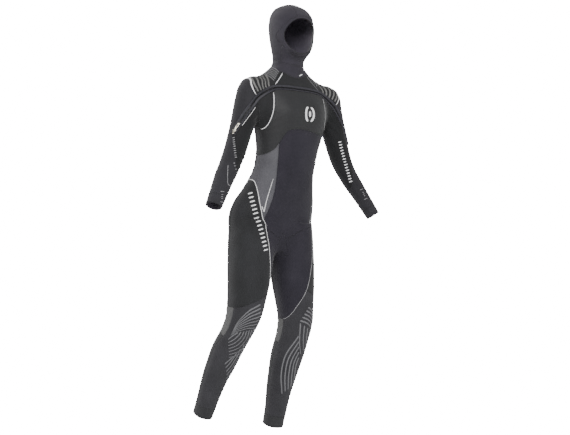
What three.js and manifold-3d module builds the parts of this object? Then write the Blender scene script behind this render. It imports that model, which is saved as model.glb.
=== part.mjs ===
// A women's full wetsuit with an attached hood, made as separate bonded neoprene panels.
// Millimetres, +Z up. The suit faces -Y and its right side is -X, as it is worn, with the
// knees and elbows a little bent. The origin is the middle of the waist.
import * as THREE from 'three';
import { mergeVertices } from 'three/addons/utils/BufferGeometryUtils.js';
import Module from 'manifold-3d';

const wasm = await Module();
wasm.setup();

// ---- Driving dimensions -----------------------------------------------------------------
const SUIT_HEIGHT = 1615;        // crown of the hood to the left ankle hem
const CHEST_WIDTH = 324;         // across the body at the armholes
const NEOPRENE = 6;              // wall of every panel
const SEAM_GAP = 0.3;            // clearance between two panels, filled by glue on the suit
const WAIST_HEIGHT = 980;        // waist above the left ankle hem, on the drafted block
const LEFT_ARM_SWING = 3;        // degrees that the left arm hangs further out
const WRIST_SEAL_LENGTH = 38;
const ANKLE_SEAL_LENGTH = 45;
const ELBOW_LENGTH = 110;        // stretch of sleeve that bends with the elbow
const KNEE_LENGTH = 122;         // stretch of leg that bends with the knee
const NECK_LENGTH = 42;          // height of the collar
const FACE_WIDTH = 126;          // face opening
const FACE_HEIGHT = 128;
const FACE_SEAL_WIDTH = 9;
const HOOD_STRIP_WIDTH = 56;     // centre panel over the crown

const ZIP_WIDTH = 22;            // zip channel between the panels
const ZIP_PROUD = 1.8;           // tape edge above the panels
const TAPE_DEPTH = 4;            // tape edge below the panels' outer face
const TEETH_WIDTH = 2.3;         // one row
const TEETH_TOP = -0.4;
const TEETH_DEPTH = 2.3;
const SLIDER_WEB = 1;            // tongue between the rows
const ZIP_CLEARANCE = 0.3;       // between all zip parts
const UNDERLAY_WIDTH = 17;
const UNDERLAY_THICKNESS = 1.2;
const STOP_LENGTH = 4;
const SLIDER_LENGTH = 16;
const SLIDER_WIDTH = 11.5;
const SLIDER_PLATE = 1.8;
const PULL_LENGTH = 34;
const PULL_WIDTH = 8;
const PULL_THICKNESS = 1.8;
const PIN_RADIUS = 1.1;
const EAR_THICKNESS = 1.6;

// ---- The drafted block ------------------------------------------------------------------
// Cross-sections of the dressed body: [height above the left ankle hem, centre x, centre y,
// half width, depth in front of the centre, depth behind it].
const BLOCK_HEIGHT = 1615;
const BLOCK_CHEST = 324;
const TORSO = [
  [690, 0, 22, 118, 70, 85], [720, 0, 24, 152, 86, 108], [760, 0, 26, 167, 90, 120],
  [800, 0, 25, 170, 90, 120], [850, 0, 14, 164, 90, 108], [910, 0, -10, 142, 88, 90],
  [980, 0, -33, 122, 84, 80], [1040, 0, -46, 122, 82, 82], [1100, 0, -52, 132, 84, 88],
  [1160, 0, -50, 146, 88, 94], [1220, 0, -44, 158, 88, 102], [1265, 0, -36, 162, 80, 102],
  [1300, 0, -28, 150, 66, 90], [1328, 0, -20, 124, 58, 78], [1350, 0, -14, 92, 54, 66],
  [1378, 0, -10, 62, 54, 58], [1405, 0, -11, 59, 60, 57], [1430, 0, -15, 66, 86, 66],
  [1460, 0, -19, 74, 95, 80], [1500, 0, -18, 79, 93, 92], [1540, 0, -14, 79, 87, 94],
  [1575, 0, -8, 70, 78, 82], [1600, 0, -2, 48, 53, 56], [1613, 0, 0, 20, 24, 26],
];
const RIGHT_LEG = [
  [-20, -158, 188, 37, 42, 44], [20, -154, 172, 37, 42, 44], [90, -148, 148, 41, 42, 46],
  [160, -141, 124, 47, 46, 54], [240, -132, 88, 55, 54, 66], [310, -125, 52, 59, 58, 72],
  [370, -119, 14, 60, 62, 68], [420, -115, -12, 62, 68, 72], [480, -109, -18, 67, 70, 80],
  [560, -101, -10, 75, 78, 88], [640, -93, 2, 81, 84, 94], [720, -86, 12, 84, 86, 102],
  [790, -82, 22, 82, 86, 102],
];
const LEFT_LEG = [
  [-50, 114, 93, 38, 42, 44], [-10, 114, 84, 38, 42, 44], [70, 114, 68, 41, 42, 46],
  [140, 114, 54, 47, 46, 54], [220, 114, 32, 55, 54, 66], [300, 113, 6, 60, 60, 72],
  [360, 111, -16, 60, 62, 70], [420, 109, -28, 62, 68, 74], [480, 105, -22, 69, 72, 80],
  [560, 99, -9, 77, 80, 88], [640, 93, 2, 82, 84, 94], [720, 86, 12, 84, 86, 102],
  [790, 82, 22, 82, 86, 102],
];
// One arm, with the centre x measured outwards; both arms share it.
const ARM = [
  [790, 366, -142, 31, 31, 31], [810, 355, -134, 31, 31, 31], [840, 338, -122, 32, 32, 32],
  [890, 310, -103, 35, 36, 36], [950, 276, -80, 40, 40, 40], [1010, 244, -62, 41, 42, 42],
  [1050, 228, -55, 42, 43, 43], [1110, 210, -49, 44, 44, 45], [1180, 192, -44, 48, 47, 50],
  [1235, 178, -40, 51, 50, 54], [1285, 165, -38, 50, 50, 54], [1310, 156, -36, 38, 40, 44],
  [1322, 150, -34, 20, 22, 22],
];
const TORSO_FULLNESS = 2.3;      // exponent of the section's curve; 2 is a plain ellipse
const LIMB_FULLNESS = 2.1;
const BUST = { x: 72, height: 1205, push: 30, spreadX: 46, spreadZ: 44, behind: -95, fade: 60 };

const ELBOW_HEIGHT = 1026;
const WRIST_HEIGHT = 829;
const SHOULDER_HEIGHT = 1290;
const KNEE_HEIGHT = { R: 418, L: 418 };
const ANKLE_HEIGHT = { R: 27, L: 0 };
const NECK_HEIGHT = 1355;        // collar seam where it crosses the sides of the neck
const NECK_SEAM_SLOPE = 0.33;    // the seam climbs towards the nape
const NECK_CENTRE_Y = -10;
const FACE_CENTRE_HEIGHT = 1489;

const heightGrade = SUIT_HEIGHT / BLOCK_HEIGHT;
const girthGrade = CHEST_WIDTH / BLOCK_CHEST;
const up = (height) => (height - WAIST_HEIGHT) * heightGrade;
const across = (distance) => distance * girthGrade;
const FAR = 2500;

// ---- Lofts ------------------------------------------------------------------------------
const graded = (stations) => stations.map(([h, ...rest]) => [up(h), ...rest.map(across)]);

// Smooth values between the stations, by a cubic whose slopes come from the neighbours.
function sectionAt(stations, z) {
  const last = stations.length - 1;
  let i = 0;
  while (i < last - 1 && stations[i + 1][0] < z) i += 1;
  const slope = (k, c) => {
    const lower = Math.max(k - 1, 0);
    const upper = Math.min(k + 1, last);
    const rise = (a, b) => (stations[b][c] - stations[a][c]) / (stations[b][0] - stations[a][0]);
    if (k === 0 || k === last) return rise(lower, upper);
    const below = stations[k][0] - stations[lower][0];
    const above = stations[upper][0] - stations[k][0];
    return (rise(lower, k) * above + rise(k, upper) * below) / (below + above);
  };
  const span = stations[i + 1][0] - stations[i][0];
  const t = (z - stations[i][0]) / span;
  const blend = (c) => (2 * t ** 3 - 3 * t ** 2 + 1) * stations[i][c]
    + (t ** 3 - 2 * t ** 2 + t) * span * slope(i, c)
    + (3 * t ** 2 - 2 * t ** 3) * stations[i + 1][c]
    + (t ** 3 - t ** 2) * span * slope(i + 1, c);
  return [1, 2, 3, 4, 5].map(blend);
}

function surfacePoint(stations, z, angle, fullness) {
  const [x, y, width, front, back] = sectionAt(stations, z);
  const bend = (value) => Math.sign(value) * Math.abs(value) ** (2 / fullness);
  const c = bend(Math.cos(angle));
  const s = bend(Math.sin(angle));
  return new THREE.Vector3(x + width * c, y + (s < 0 ? front : back) * s, z);
}

function pushBust(point) {
  const swell = (x) => Math.exp(-((point.x - x) ** 2) / (2 * across(BUST.spreadX) ** 2)
    - ((point.z - up(BUST.height)) ** 2) / (2 * across(BUST.spreadZ) ** 2));
  const facing = THREE.MathUtils.clamp((across(BUST.behind) - point.y) / across(BUST.fade), 0, 1);
  const swells = swell(across(BUST.x)) + swell(-across(BUST.x));
  point.y -= across(BUST.push) * swells * facing;
  return point;
}

function loftRows(stations, fullness, sides, shape = (point) => point) {
  const ring = ([z]) => Array.from({ length: sides }, (_, j) =>
    shape(surfacePoint(stations, z, (2 * Math.PI * j) / sides, fullness)));
  return stations.map(ring);
}

// The same rows moved inwards by a wall, square to the surface.
function inset(rows, wall) {
  const sides = rows[0].length;
  return rows.map((ring, i) => ring.map((point, j) => {
    const below = rows[Math.max(i - 1, 0)][j];
    const above = rows[Math.min(i + 1, rows.length - 1)][j];
    const rise = above.clone().sub(below);
    const round = ring[(j + 1) % sides].clone().sub(ring[(j + sides - 1) % sides]);
    const normal = round.cross(rise).normalize();
    return point.clone().addScaledVector(normal, -wall);
  }));
}

function solidFromTriangles(positions, indices) {
  const geometry = new THREE.BufferGeometry();
  geometry.setAttribute('position', new THREE.Float32BufferAttribute(positions, 3));
  geometry.setIndex(indices);
  return toSolid(geometry);
}

function toSolid(geometry) {
  const bare = geometry.clone();
  bare.deleteAttribute('normal');
  bare.deleteAttribute('uv');
  const merged = mergeVertices(bare, 1e-4);
  return new wasm.Manifold(new wasm.Mesh({
    numProp: 3,
    vertProperties: new Float32Array(merged.attributes.position.array),
    triVerts: new Uint32Array(merged.index.array),
  }));
}

// A closed solid through rings of points, with a flat fan over each end.
function solidFromRows(rows) {
  const sides = rows[0].length;
  const positions = rows.flat().flatMap((point) => point.toArray());
  const middle = (ring) => ring.reduce((sum, p) => sum.add(p), new THREE.Vector3())
    .divideScalar(sides);
  positions.push(...middle(rows[0]).toArray(), ...middle(rows[rows.length - 1]).toArray());
  const bottom = rows.length * sides;
  const top = bottom + 1;
  const lastRow = (rows.length - 1) * sides;
  const indices = [];
  for (let j = 0; j < sides; j += 1) {
    const next = (j + 1) % sides;
    indices.push(bottom, next, j, top, lastRow + j, lastRow + next);
    for (let i = 0; i < rows.length - 1; i += 1) {
      const a = i * sides;
      const b = a + sides;
      indices.push(a + j, a + next, b + next, a + j, b + next, b + j);
    }
  }
  return solidFromTriangles(positions, indices);
}

// ---- The body form ----------------------------------------------------------------------
const torso = graded(TORSO);
const legs = { R: graded(RIGHT_LEG), L: graded(LEFT_LEG) };
const arm = graded(ARM);
const SIGN = { R: -1, L: 1 };

// Carries a point of the drafted arm, whose x runs outwards, to the right or left arm.
function toArm(side, point) {
  if (side === 'R') return new THREE.Vector3(-point.x, point.y, point.z);
  const pivot = new THREE.Vector3(sectionAt(arm, up(SHOULDER_HEIGHT))[0], 0, up(SHOULDER_HEIGHT));
  const swing = THREE.MathUtils.degToRad(-LEFT_ARM_SWING);
  return point.clone().sub(pivot).applyAxisAngle(new THREE.Vector3(0, 1, 0), swing).add(pivot);
}

const TORSO_SIDES = 20;
const LEG_SIDES = 12;
const ARM_SIDES = 10;
const torsoRows = loftRows(torso, TORSO_FULLNESS, TORSO_SIDES, pushBust);
const legRows = (side) => loftRows(legs[side], TORSO_FULLNESS, LEG_SIDES);
const armRows = (side) => loftRows(arm, LIMB_FULLNESS, ARM_SIDES)
  .map((ring) => ring.map((point) => toArm(side, point)));

// The arm's rows run round the other way on the right, where x is mirrored.
function orient(side, rows) {
  return side === 'R' ? rows.map((ring) => [...ring].reverse()) : rows;
}

const limbs = [
  legRows('R'), legRows('L'), orient('R', armRows('R')), orient('L', armRows('L')),
];
const torsoInside = inset(torsoRows, NEOPRENE);
torsoInside[0].forEach((point) => { point.z += NEOPRENE; });
const join = (solids) => solids.reduce((sum, solid) => sum.add(solid));
const outside = join([torsoRows, ...limbs].map(solidFromRows));
const inside = join([torsoInside, ...limbs.map((rows) => inset(rows, NEOPRENE))]
  .map(solidFromRows));

// ---- Cutting tools ----------------------------------------------------------------------
const VIEWS = {
  front: new THREE.Matrix4().makeBasis(
    new THREE.Vector3(1, 0, 0), new THREE.Vector3(0, 0, 1), new THREE.Vector3(0, -1, 0)),
  side: new THREE.Matrix4().makeBasis(
    new THREE.Vector3(0, 1, 0), new THREE.Vector3(0, 0, 1), new THREE.Vector3(1, 0, 0)),
};

// A prism of an outline drawn in a view, from one depth to another along the view's axis.
function prism(outline, view, from = -FAR, to = FAR) {
  const shape = new THREE.Shape(outline.map(([u, v]) => new THREE.Vector2(u, v)));
  const geometry = new THREE.ExtrudeGeometry(shape, { depth: to - from, bevelEnabled: false });
  geometry.translate(0, 0, from);
  geometry.applyMatrix4(VIEWS[view]);
  return toSolid(geometry);
}

// The line moved to its left by a distance, with its ends run far past the suit.
function besideLine(line, distance) {
  const points = line.map(([u, v]) => new THREE.Vector2(u, v));
  const runOut = (end, next) => end.clone().sub(next).setLength(FAR).add(end);
  points.unshift(runOut(points[0], points[1]));
  points.push(runOut(points[points.length - 1], points[points.length - 2]));
  return points.map((point, i) => {
    const before = points[Math.max(i - 1, 0)];
    const after = points[Math.min(i + 1, points.length - 1)];
    const run = after.clone().sub(before).normalize();
    return [point.x - run.y * distance, point.y + run.x * distance];
  });
}

// Cuts a solid along a seam line drawn in a view: [left of the line, right of the line].
function cutAlong(solid, line, view) {
  const side = (distance) => {
    const edge = besideLine(line, distance);
    const [u0, v0] = edge[0];
    const [u1, v1] = edge[edge.length - 1];
    const away = new THREE.Vector2(v0 - v1, u1 - u0).setLength(Math.sign(distance) * 2 * FAR);
    return [...edge, [u1 + away.x, v1 + away.y], [u0 + away.x, v0 + away.y]];
  };
  const left = prism(side(SEAM_GAP / 2), view);
  const right = prism(side(-SEAM_GAP / 2).reverse(), view);
  return [solid.intersect(left), solid.intersect(right)];
}

// A long block on the far side of a plane, away from a point along a direction.
function beyond(point, direction) {
  const box = new THREE.BoxGeometry(FAR, FAR, FAR);
  box.translate(0, 0, FAR / 2);
  const turn = new THREE.Quaternion()
    .setFromUnitVectors(new THREE.Vector3(0, 0, 1), direction.clone().normalize());
  box.applyQuaternion(turn);
  box.translate(point.x, point.y, point.z);
  return toSolid(box);
}

// Cuts a solid at a plane: [behind the plane, ahead of it along the direction].
function cutAcross(solid, point, direction) {
  const half = direction.clone().setLength(SEAM_GAP / 2);
  const ahead = beyond(point.clone().add(half), direction);
  const behind = beyond(point.clone().sub(half), direction.clone().negate());
  return [solid.intersect(behind), solid.intersect(ahead)];
}

// ---- Axes of the limbs ------------------------------------------------------------------
const centreOf = (stations, z) => {
  const [x, y] = sectionAt(stations, z);
  return new THREE.Vector3(x, y, z);
};
const AXIS_STEP = 40;            // how far either side of a joint its direction is taken

function limbAxis(stations, z, place = (point) => point) {
  const centre = place(centreOf(stations, z));
  const above = place(centreOf(stations, z + AXIS_STEP));
  const below = place(centreOf(stations, z - AXIS_STEP));
  return { centre, down: below.sub(above).normalize() };
}

const armAxis = (side, height) => limbAxis(arm, up(height), (point) => toArm(side, point));
const legAxis = (side, height) => limbAxis(legs[side], up(height));

// ---- The zip ----------------------------------------------------------------------------
// The channel runs from the outside of one upper arm over the chest to the other. On the
// arms it turns round the sleeve, and its last stretch on each arm is straight.
const ZIP_CHEST = [[0, 1290], [50, 1290], [100, 1285], [135, 1268]];
const ZIP_SLEEVE = [[1241, 6], [1210, -10]];
const ZIP_STRAIGHT_TOP = [1178, -27];
const ZIP_STRAIGHT_BOTTOM = [1098, -68];
const ZIP_STEPS = 40;            // bends of the curved stretch
const ZIP_STRAIGHT_LIFT = 1.5;   // the straight stretch, over the round of the sleeve
const CHANNEL_DEPTH = NEOPRENE + 3.5;
const CHANNEL_PROUD = ZIP_PROUD + 2.5;

// The outermost front of the body at a place on the chest.
function frontPoint(x, z) {
  const frontOf = (stations, fullness, offset) => {
    const [cx, cy, width, front] = sectionAt(stations, z);
    const reach = Math.abs(x - offset * cx) / width;
    return reach < 1 ? cy - front * (1 - reach ** fullness) ** (1 / fullness) : Infinity;
  };
  const side = Math.sign(x) || 1;
  const y = Math.min(frontOf(torso, TORSO_FULLNESS, 0), frontOf(arm, LIMB_FULLNESS, side));
  return pushBust(new THREE.Vector3(x, y, z));
}

// A place on the sleeve: the height, and the degrees round from the front, inwards positive.
function sleevePoint(side, [height, degrees]) {
  const angle = -Math.PI / 2 - THREE.MathUtils.degToRad(degrees);
  return toArm(side, surfacePoint(arm, up(height), angle, LIMB_FULLNESS));
}

// Outwards from the body, turning from the trunk's axis to the sleeve's near the armhole.
const TURN_TO_SLEEVE = [120, 175];   // distances aside over which outward turns
const CHEST_FLATNESS = 0.5;          // share of the way aside that the trunk's axis follows
function outwardAt(point) {
  const side = point.x < 0 ? 'R' : 'L';
  const sleeveAxis = toArm(side, centreOf(arm, point.z));
  const trunkAxis = new THREE.Vector3(
    point.x * CHEST_FLATNESS, sectionAt(torso, point.z)[1], point.z);
  const [from, to] = TURN_TO_SLEEVE.map(across);
  const onSleeve = THREE.MathUtils.smoothstep(Math.abs(point.x), from, to);
  return point.clone().sub(trunkAxis.lerp(sleeveAxis, onSleeve)).normalize();
}

function zipFrame(centre, along, out) {
  const square = out.clone().addScaledVector(along, -out.dot(along)).normalize();
  return { centre, along, out: square, side: square.clone().cross(along) };
}

// The straight end on one arm: frames by their distance up from its lower end.
function zipEnd(side) {
  const bottom = sleevePoint(side, ZIP_STRAIGHT_BOTTOM);
  const top = sleevePoint(side, ZIP_STRAIGHT_TOP);
  const out = outwardAt(bottom.clone().lerp(top, 0.5));
  const upwards = top.clone().sub(bottom);
  const length = upwards.length();
  upwards.normalize();
  const along = side === 'R' ? upwards.clone().negate() : upwards;
  const base = zipFrame(bottom, along, out);
  bottom.addScaledVector(base.out, ZIP_STRAIGHT_LIFT);
  const at = (distance) => ({ ...base, centre: bottom.clone().addScaledVector(upwards, distance) });
  return { at, length, upwards };
}

const zipEnds = { R: zipEnd('R'), L: zipEnd('L') };
const zipHalf = (side) => [
  ...ZIP_CHEST.slice(side === 'R' ? 0 : 1)
    .map(([x, h]) => frontPoint(SIGN[side] * across(x), up(h))),
  ...ZIP_SLEEVE.map((place) => sleevePoint(side, place)),
  zipEnds[side].at(zipEnds[side].length).centre,
];
const zipCurve = new THREE.CatmullRomCurve3([...zipHalf('L').reverse(), ...zipHalf('R')]);

// The curved stretch eases into the tilt of the straight ends, and its tilt is evened out
// along the run, so that no strip twists sharply where it crosses an armhole.
const ZIP_EASE = 60;
const ZIP_SMOOTHING = 6;
function easedOut(centre) {
  const end = zipEnds[centre.x < 0 ? 'R' : 'L'];
  const straight = end.at(end.length);
  const nearness = THREE.MathUtils.smoothstep(centre.distanceTo(straight.centre), 0, ZIP_EASE);
  return straight.out.clone().lerp(outwardAt(centre), nearness).normalize();
}

function evened(tilts) {
  return tilts.map((tilt, i) => {
    if (i === 0 || i === tilts.length - 1) return tilt;
    return tilt.clone().multiplyScalar(2).add(tilts[i - 1]).add(tilts[i + 1]).normalize();
  });
}

const zipCentres = zipCurve.getSpacedPoints(ZIP_STEPS);
let zipTilts = zipCentres.map(easedOut);
for (let pass = 0; pass < ZIP_SMOOTHING; pass += 1) zipTilts = evened(zipTilts);
const zipBends = zipCentres.slice(1, -1).map((centre, i) =>
  zipFrame(centre, zipCurve.getTangentAt((i + 1) / ZIP_STEPS), zipTilts[i + 1]));

// Frames from the left end to the right end, starting and stopping short of both by a margin.
const zipRun = (margin) => [
  zipEnds.L.at(margin), zipEnds.L.at(zipEnds.L.length), ...zipBends,
  zipEnds.R.at(zipEnds.R.length), zipEnds.R.at(margin),
];

// A strip of the zip: its edges across the run, and its faces above the panels' surface.
function zipStrip(frames, [near, far], [low, high]) {
  const corner = (frame, w, d) => frame.centre.clone()
    .addScaledVector(frame.side, w).addScaledVector(frame.out, d);
  return solidFromRows(frames.map((frame) => [
    corner(frame, near, low), corner(frame, far, low),
    corner(frame, far, high), corner(frame, near, high),
  ]));
}

const teethNear = SLIDER_WEB / 2 + ZIP_CLEARANCE;
const teethFar = teethNear + TEETH_WIDTH;
const tapeNear = teethFar + ZIP_CLEARANCE;
const tapeFar = ZIP_WIDTH / 2 - 2 * ZIP_CLEARANCE;
const tapeSpan = [-TAPE_DEPTH, ZIP_PROUD];
const teethSpan = [TEETH_TOP - TEETH_DEPTH, TEETH_TOP];
const underlayTop = -TAPE_DEPTH - 3 * ZIP_CLEARANCE;
const teethMargin = STOP_LENGTH + ZIP_CLEARANCE;
const stopRun = (end) => (end === 'R'
  ? [zipEnds.R.at(STOP_LENGTH), zipEnds.R.at(0)]
  : [zipEnds.L.at(0), zipEnds.L.at(STOP_LENGTH)]);
const zipChannel = zipStrip(zipRun(-ZIP_CLEARANCE), [-ZIP_WIDTH / 2, ZIP_WIDTH / 2],
  [-CHANNEL_DEPTH, CHANNEL_PROUD]);

// ---- Panels -----------------------------------------------------------------------------
const shell = outside.subtract(inside).subtract(zipChannel);
const drawn = (points) => points.map(([x, h]) => [across(x), up(h)]);
const mirrored = (points) => points.map(([x, h]) => [-x, h]);

// Armhole seams, from the top of the shoulder down between the arm and the body.
const ARMHOLE = [[-184, 1345], [-181, 1323], [-171, 1243], [-156, 1190], [-147, 1150],
  [-152, 1100], [-185, 900], [-235, 700]];
const [withoutRight, rightArm] = cutAlong(shell, drawn(ARMHOLE), 'front');
const [leftArm, trunk] = cutAlong(withoutRight, drawn(mirrored(ARMHOLE)), 'front');

// The two lower legs come off above the knees, each by a plane square to the leg.
const LEG_ROOM = { width: 400, top: 600, bottom: -300 };   // holds one leg and no arm
function cutLeg(solid, side) {
  const { centre, down } = legAxis(side, KNEE_HEIGHT[side]);
  const outer = SIGN[side] * LEG_ROOM.width;
  const { top, bottom } = LEG_ROOM;
  const room = prism(drawn([[0, top], [outer, top], [outer, bottom], [0, bottom]]), 'front');
  const start = (gap) => beyond(
    centre.clone().addScaledVector(down, gap - KNEE_LENGTH / 2), down).intersect(room);
  return [solid.subtract(start(-SEAM_GAP / 2)), solid.intersect(start(SEAM_GAP / 2))];
}
const [withoutRightLeg, rightLowerLeg] = cutLeg(trunk, 'R');
const [body, leftLowerLeg] = cutLeg(withoutRightLeg, 'L');

// The collar and the hood, above a seam that climbs towards the nape.
const neckDirection = new THREE.Vector3(0, -NECK_SEAM_SLOPE, 1).normalize();
const neckBase = new THREE.Vector3(0, across(NECK_CENTRE_Y), up(NECK_HEIGHT));
const neckTop = neckBase.clone().add(new THREE.Vector3(0, 0, NECK_LENGTH));
const [suitBody, headAndNeck] = cutAcross(body, neckBase, neckDirection);
const [collar, hood] = cutAcross(headAndNeck, neckTop, neckDirection);

const FACE_SIDES = 20;
function ellipse(extra) {
  return Array.from({ length: FACE_SIDES }, (_, i) => {
    const angle = (2 * Math.PI * i) / FACE_SIDES;
    return [(FACE_WIDTH / 2 + extra) * Math.cos(angle),
      up(FACE_CENTRE_HEIGHT) + (FACE_HEIGHT / 2 + extra) * Math.sin(angle)];
  });
}
const FACE_BACK = 25;            // the opening is cut no further back than this
const faceCut = (extra) => prism(ellipse(extra), 'front', FACE_BACK, FAR);
const openHood = hood.subtract(faceCut(0));
const faceSeal = openHood.intersect(faceCut(FACE_SEAL_WIDTH - SEAM_GAP / 2));
const hoodBlank = openHood.subtract(faceCut(FACE_SEAL_WIDTH + SEAM_GAP / 2));
const CHIN_SEAM = [[-28, 1340], [-40, 1400], [-66, 1452], [-110, 1470]];
const [chinSide, skull] = cutAlong(hoodBlank, drawn(CHIN_SEAM), 'side');
const stripEdge = HOOD_STRIP_WIDTH / 2;
const HOOD_SPAN = [1700, 1300];  // from over the crown to below the chin
const edgeLine = (x) => HOOD_SPAN.map((height) => [x, up(height)]);
const [skullInner, hoodRight] = cutAlong(skull, edgeLine(-stripEdge), 'front');
const [hoodLeft, hoodCentre] = cutAlong(skullInner, edgeLine(stripEdge), 'front');

// Above the zip: shoulder panels on both sides of a yoke that rings the collar.
const ZIP_ON_TRUNK = 165;        // half width of the zip's stretch between the armholes
const onTrunk = zipRun(0).filter(({ centre }) => Math.abs(centre.x) < across(ZIP_ON_TRUNK));
const zipLine = onTrunk.map(({ centre }) => [centre.x, centre.z]).reverse();
const [aboveZip, belowZip] = cutAlong(suitBody, zipLine, 'front');
const YOKE_SEAM = [[-46, 1372], [-58, 1341], [-104, 1289], [-125, 1265]];
const [yokeAndLeft, shoulderRight] = cutAlong(aboveZip, drawn(YOKE_SEAM), 'front');
const [shoulderLeft, yoke] = cutAlong(yokeAndLeft, drawn(mirrored(YOKE_SEAM)), 'front');
const YOKE_SPLIT = [[-14, 1450], [-14, 1200]];
const [yokeBack, yokeFront] = cutAlong(yoke, drawn(YOKE_SPLIT), 'side');

// The gusset between the legs, then the side seam from the armpit to the knee.
const GUSSET = [[-36, 664], [36, 664], [0, 756]];
const gussetCut = (gap) => {
  const [left, right, top] = drawn(GUSSET);
  return prism([[left[0] - 2 * gap, left[1] - gap], [right[0] + 2 * gap, right[1] - gap],
    [top[0], top[1] + 2 * gap]], 'front');
};
const gusset = belowZip.intersect(gussetCut(0));
const suit = belowZip.subtract(gussetCut(SEAM_GAP));
const SIDE_SEAM = [[-30, 1300], [-38, 1165], [-38, 1100], [-30, 1040], [-14, 980], [12, 910],
  [34, 850], [46, 780], [40, 700], [30, 640], [18, 560], [6, 480], [0, 440]];
const [back, front] = cutAlong(suit, drawn(SIDE_SEAM), 'side');

// Front of the trunk and thighs.
const UNDERARM_SEAM = [[-106, 1310], [-111, 1270], [-114, 1229], [-119, 1173], [-130, 1133],
  [-150, 1120]];
const [frontInner, underarmRight] = cutAlong(front, drawn(UNDERARM_SEAM), 'front');
const [underarmLeft, frontTrunk] = cutAlong(frontInner, drawn(mirrored(UNDERARM_SEAM)), 'front');
const BUST_SEAM = [[-160, 1010], [-122, 1032], [-98, 1052], [-82, 1080], [-66, 1115],
  [-50, 1131], [0, 1138], [50, 1131], [104, 1123], [150, 1112]];
const [chest, lowerFront] = cutAlong(frontTrunk, drawn(BUST_SEAM), 'front');

// The belly runs on down the inner thighs, between the piped seams of the two legs.
const RIGHT_PIPED_SEAM = [[-86, 1120], [-82, 1077], [-73, 982], [-67, 900], [-70, 840],
  [-82, 795], [-76, 745], [-62, 690], [-48, 600], [-38, 530], [-36, 440]];
const LEFT_PIPED_SEAM = [[100, 1160], [104, 1123], [108, 1077], [110, 982], [124, 880],
  [136, 790], [140, 691], [128, 610], [109, 539], [71, 475], [40, 440]];
const [middle, rightSide] = cutAlong(lowerFront, drawn(RIGHT_PIPED_SEAM), 'front');
const [leftSide, middleFront] = cutAlong(middle, drawn(LEFT_PIPED_SEAM), 'front');
const RIGHT_HIP_SEAM = [[-200, 1000], [-140, 972], [-124, 960], [-122, 880], [-104, 826],
  [-78, 770], [-50, 730]];
const LEFT_HIP_SEAM = [[200, 1010], [140, 985], [128, 965], [140, 905], [146, 850],
  [134, 790], [110, 740]];
const [sideRight, thighOuterRight] = cutAlong(rightSide, drawn(RIGHT_HIP_SEAM), 'front');
const [thighOuterLeft, sideLeft] = cutAlong(leftSide, drawn(LEFT_HIP_SEAM), 'front');
const BELLY_HEM = [[-170, 800], [-80, 762], [0, 726], [80, 762], [170, 800]];
const [belly, innerThighs] = cutAlong(middleFront, drawn(BELLY_HEM), 'front');
const MIDDLE = [[0, up(900)], [0, up(500)]];
const [thighInnerLeft, thighInnerRight] = cutAlong(innerThighs, MIDDLE, 'front');

// Back of the trunk and thighs.
const LUMBAR_SEAM = [[-200, 1120], [-70, 1088], [0, 1080], [70, 1088], [200, 1120]];
const SEAT_SEAM = [[-200, 985], [-80, 925], [0, 900], [80, 925], [200, 985]];
const GLUTE_SEAM = [[-200, 770], [-90, 738], [0, 742], [90, 738], [200, 770]];
const [upperBack, backBelowRibs] = cutAlong(back, drawn(LUMBAR_SEAM), 'front');
const [lowerBack, seatAndThighs] = cutAlong(backBelowRibs, drawn(SEAT_SEAM), 'front');
const [seat, hamstrings] = cutAlong(seatAndThighs, drawn(GLUTE_SEAM), 'front');
const [hamstringLeft, hamstringRight] = cutAlong(hamstrings, MIDDLE, 'front');

// A lower leg: the knee that bends, the shin and calf, and the ankle seal.
const CALF_SEAM_HEIGHTS = [500, 420, 360, 300, 220, 140, 60, -20];
const CALF_SEAM_BEHIND = 8;      // how far behind the leg's axis the seam runs
function lowerLeg(solid, side) {
  const knee = legAxis(side, KNEE_HEIGHT[side]);
  const hem = legAxis(side, ANKLE_HEIGHT[side] + AXIS_STEP / 2);
  const kneeEnd = knee.centre.clone().addScaledVector(knee.down, KNEE_LENGTH / 2);
  const hemEnd = centreOf(legs[side], up(ANKLE_HEIGHT[side]));
  const sealStart = hemEnd.clone().addScaledVector(hem.down, -ANKLE_SEAL_LENGTH);
  const [kneeRing, below] = cutAcross(solid, kneeEnd, knee.down);
  const [calfAndShin, sealAndWaste] = cutAcross(below, sealStart, hem.down);
  const seam = CALF_SEAM_HEIGHTS.map((height) => {
    const centre = centreOf(legs[side], up(height));
    return [centre.y + across(CALF_SEAM_BEHIND), centre.z];
  });
  const [kneeBack, kneeFront] = cutAlong(kneeRing, seam, 'side');
  const [calf, shin] = cutAlong(calfAndShin, seam, 'side');
  const seal = sealAndWaste.subtract(beyond(hemEnd, hem.down));
  return { kneeFront, kneeBack, shin, calf, seal };
}
const lowerLegs = { R: lowerLeg(rightLowerLeg, 'R'), L: lowerLeg(leftLowerLeg, 'L') };

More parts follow.
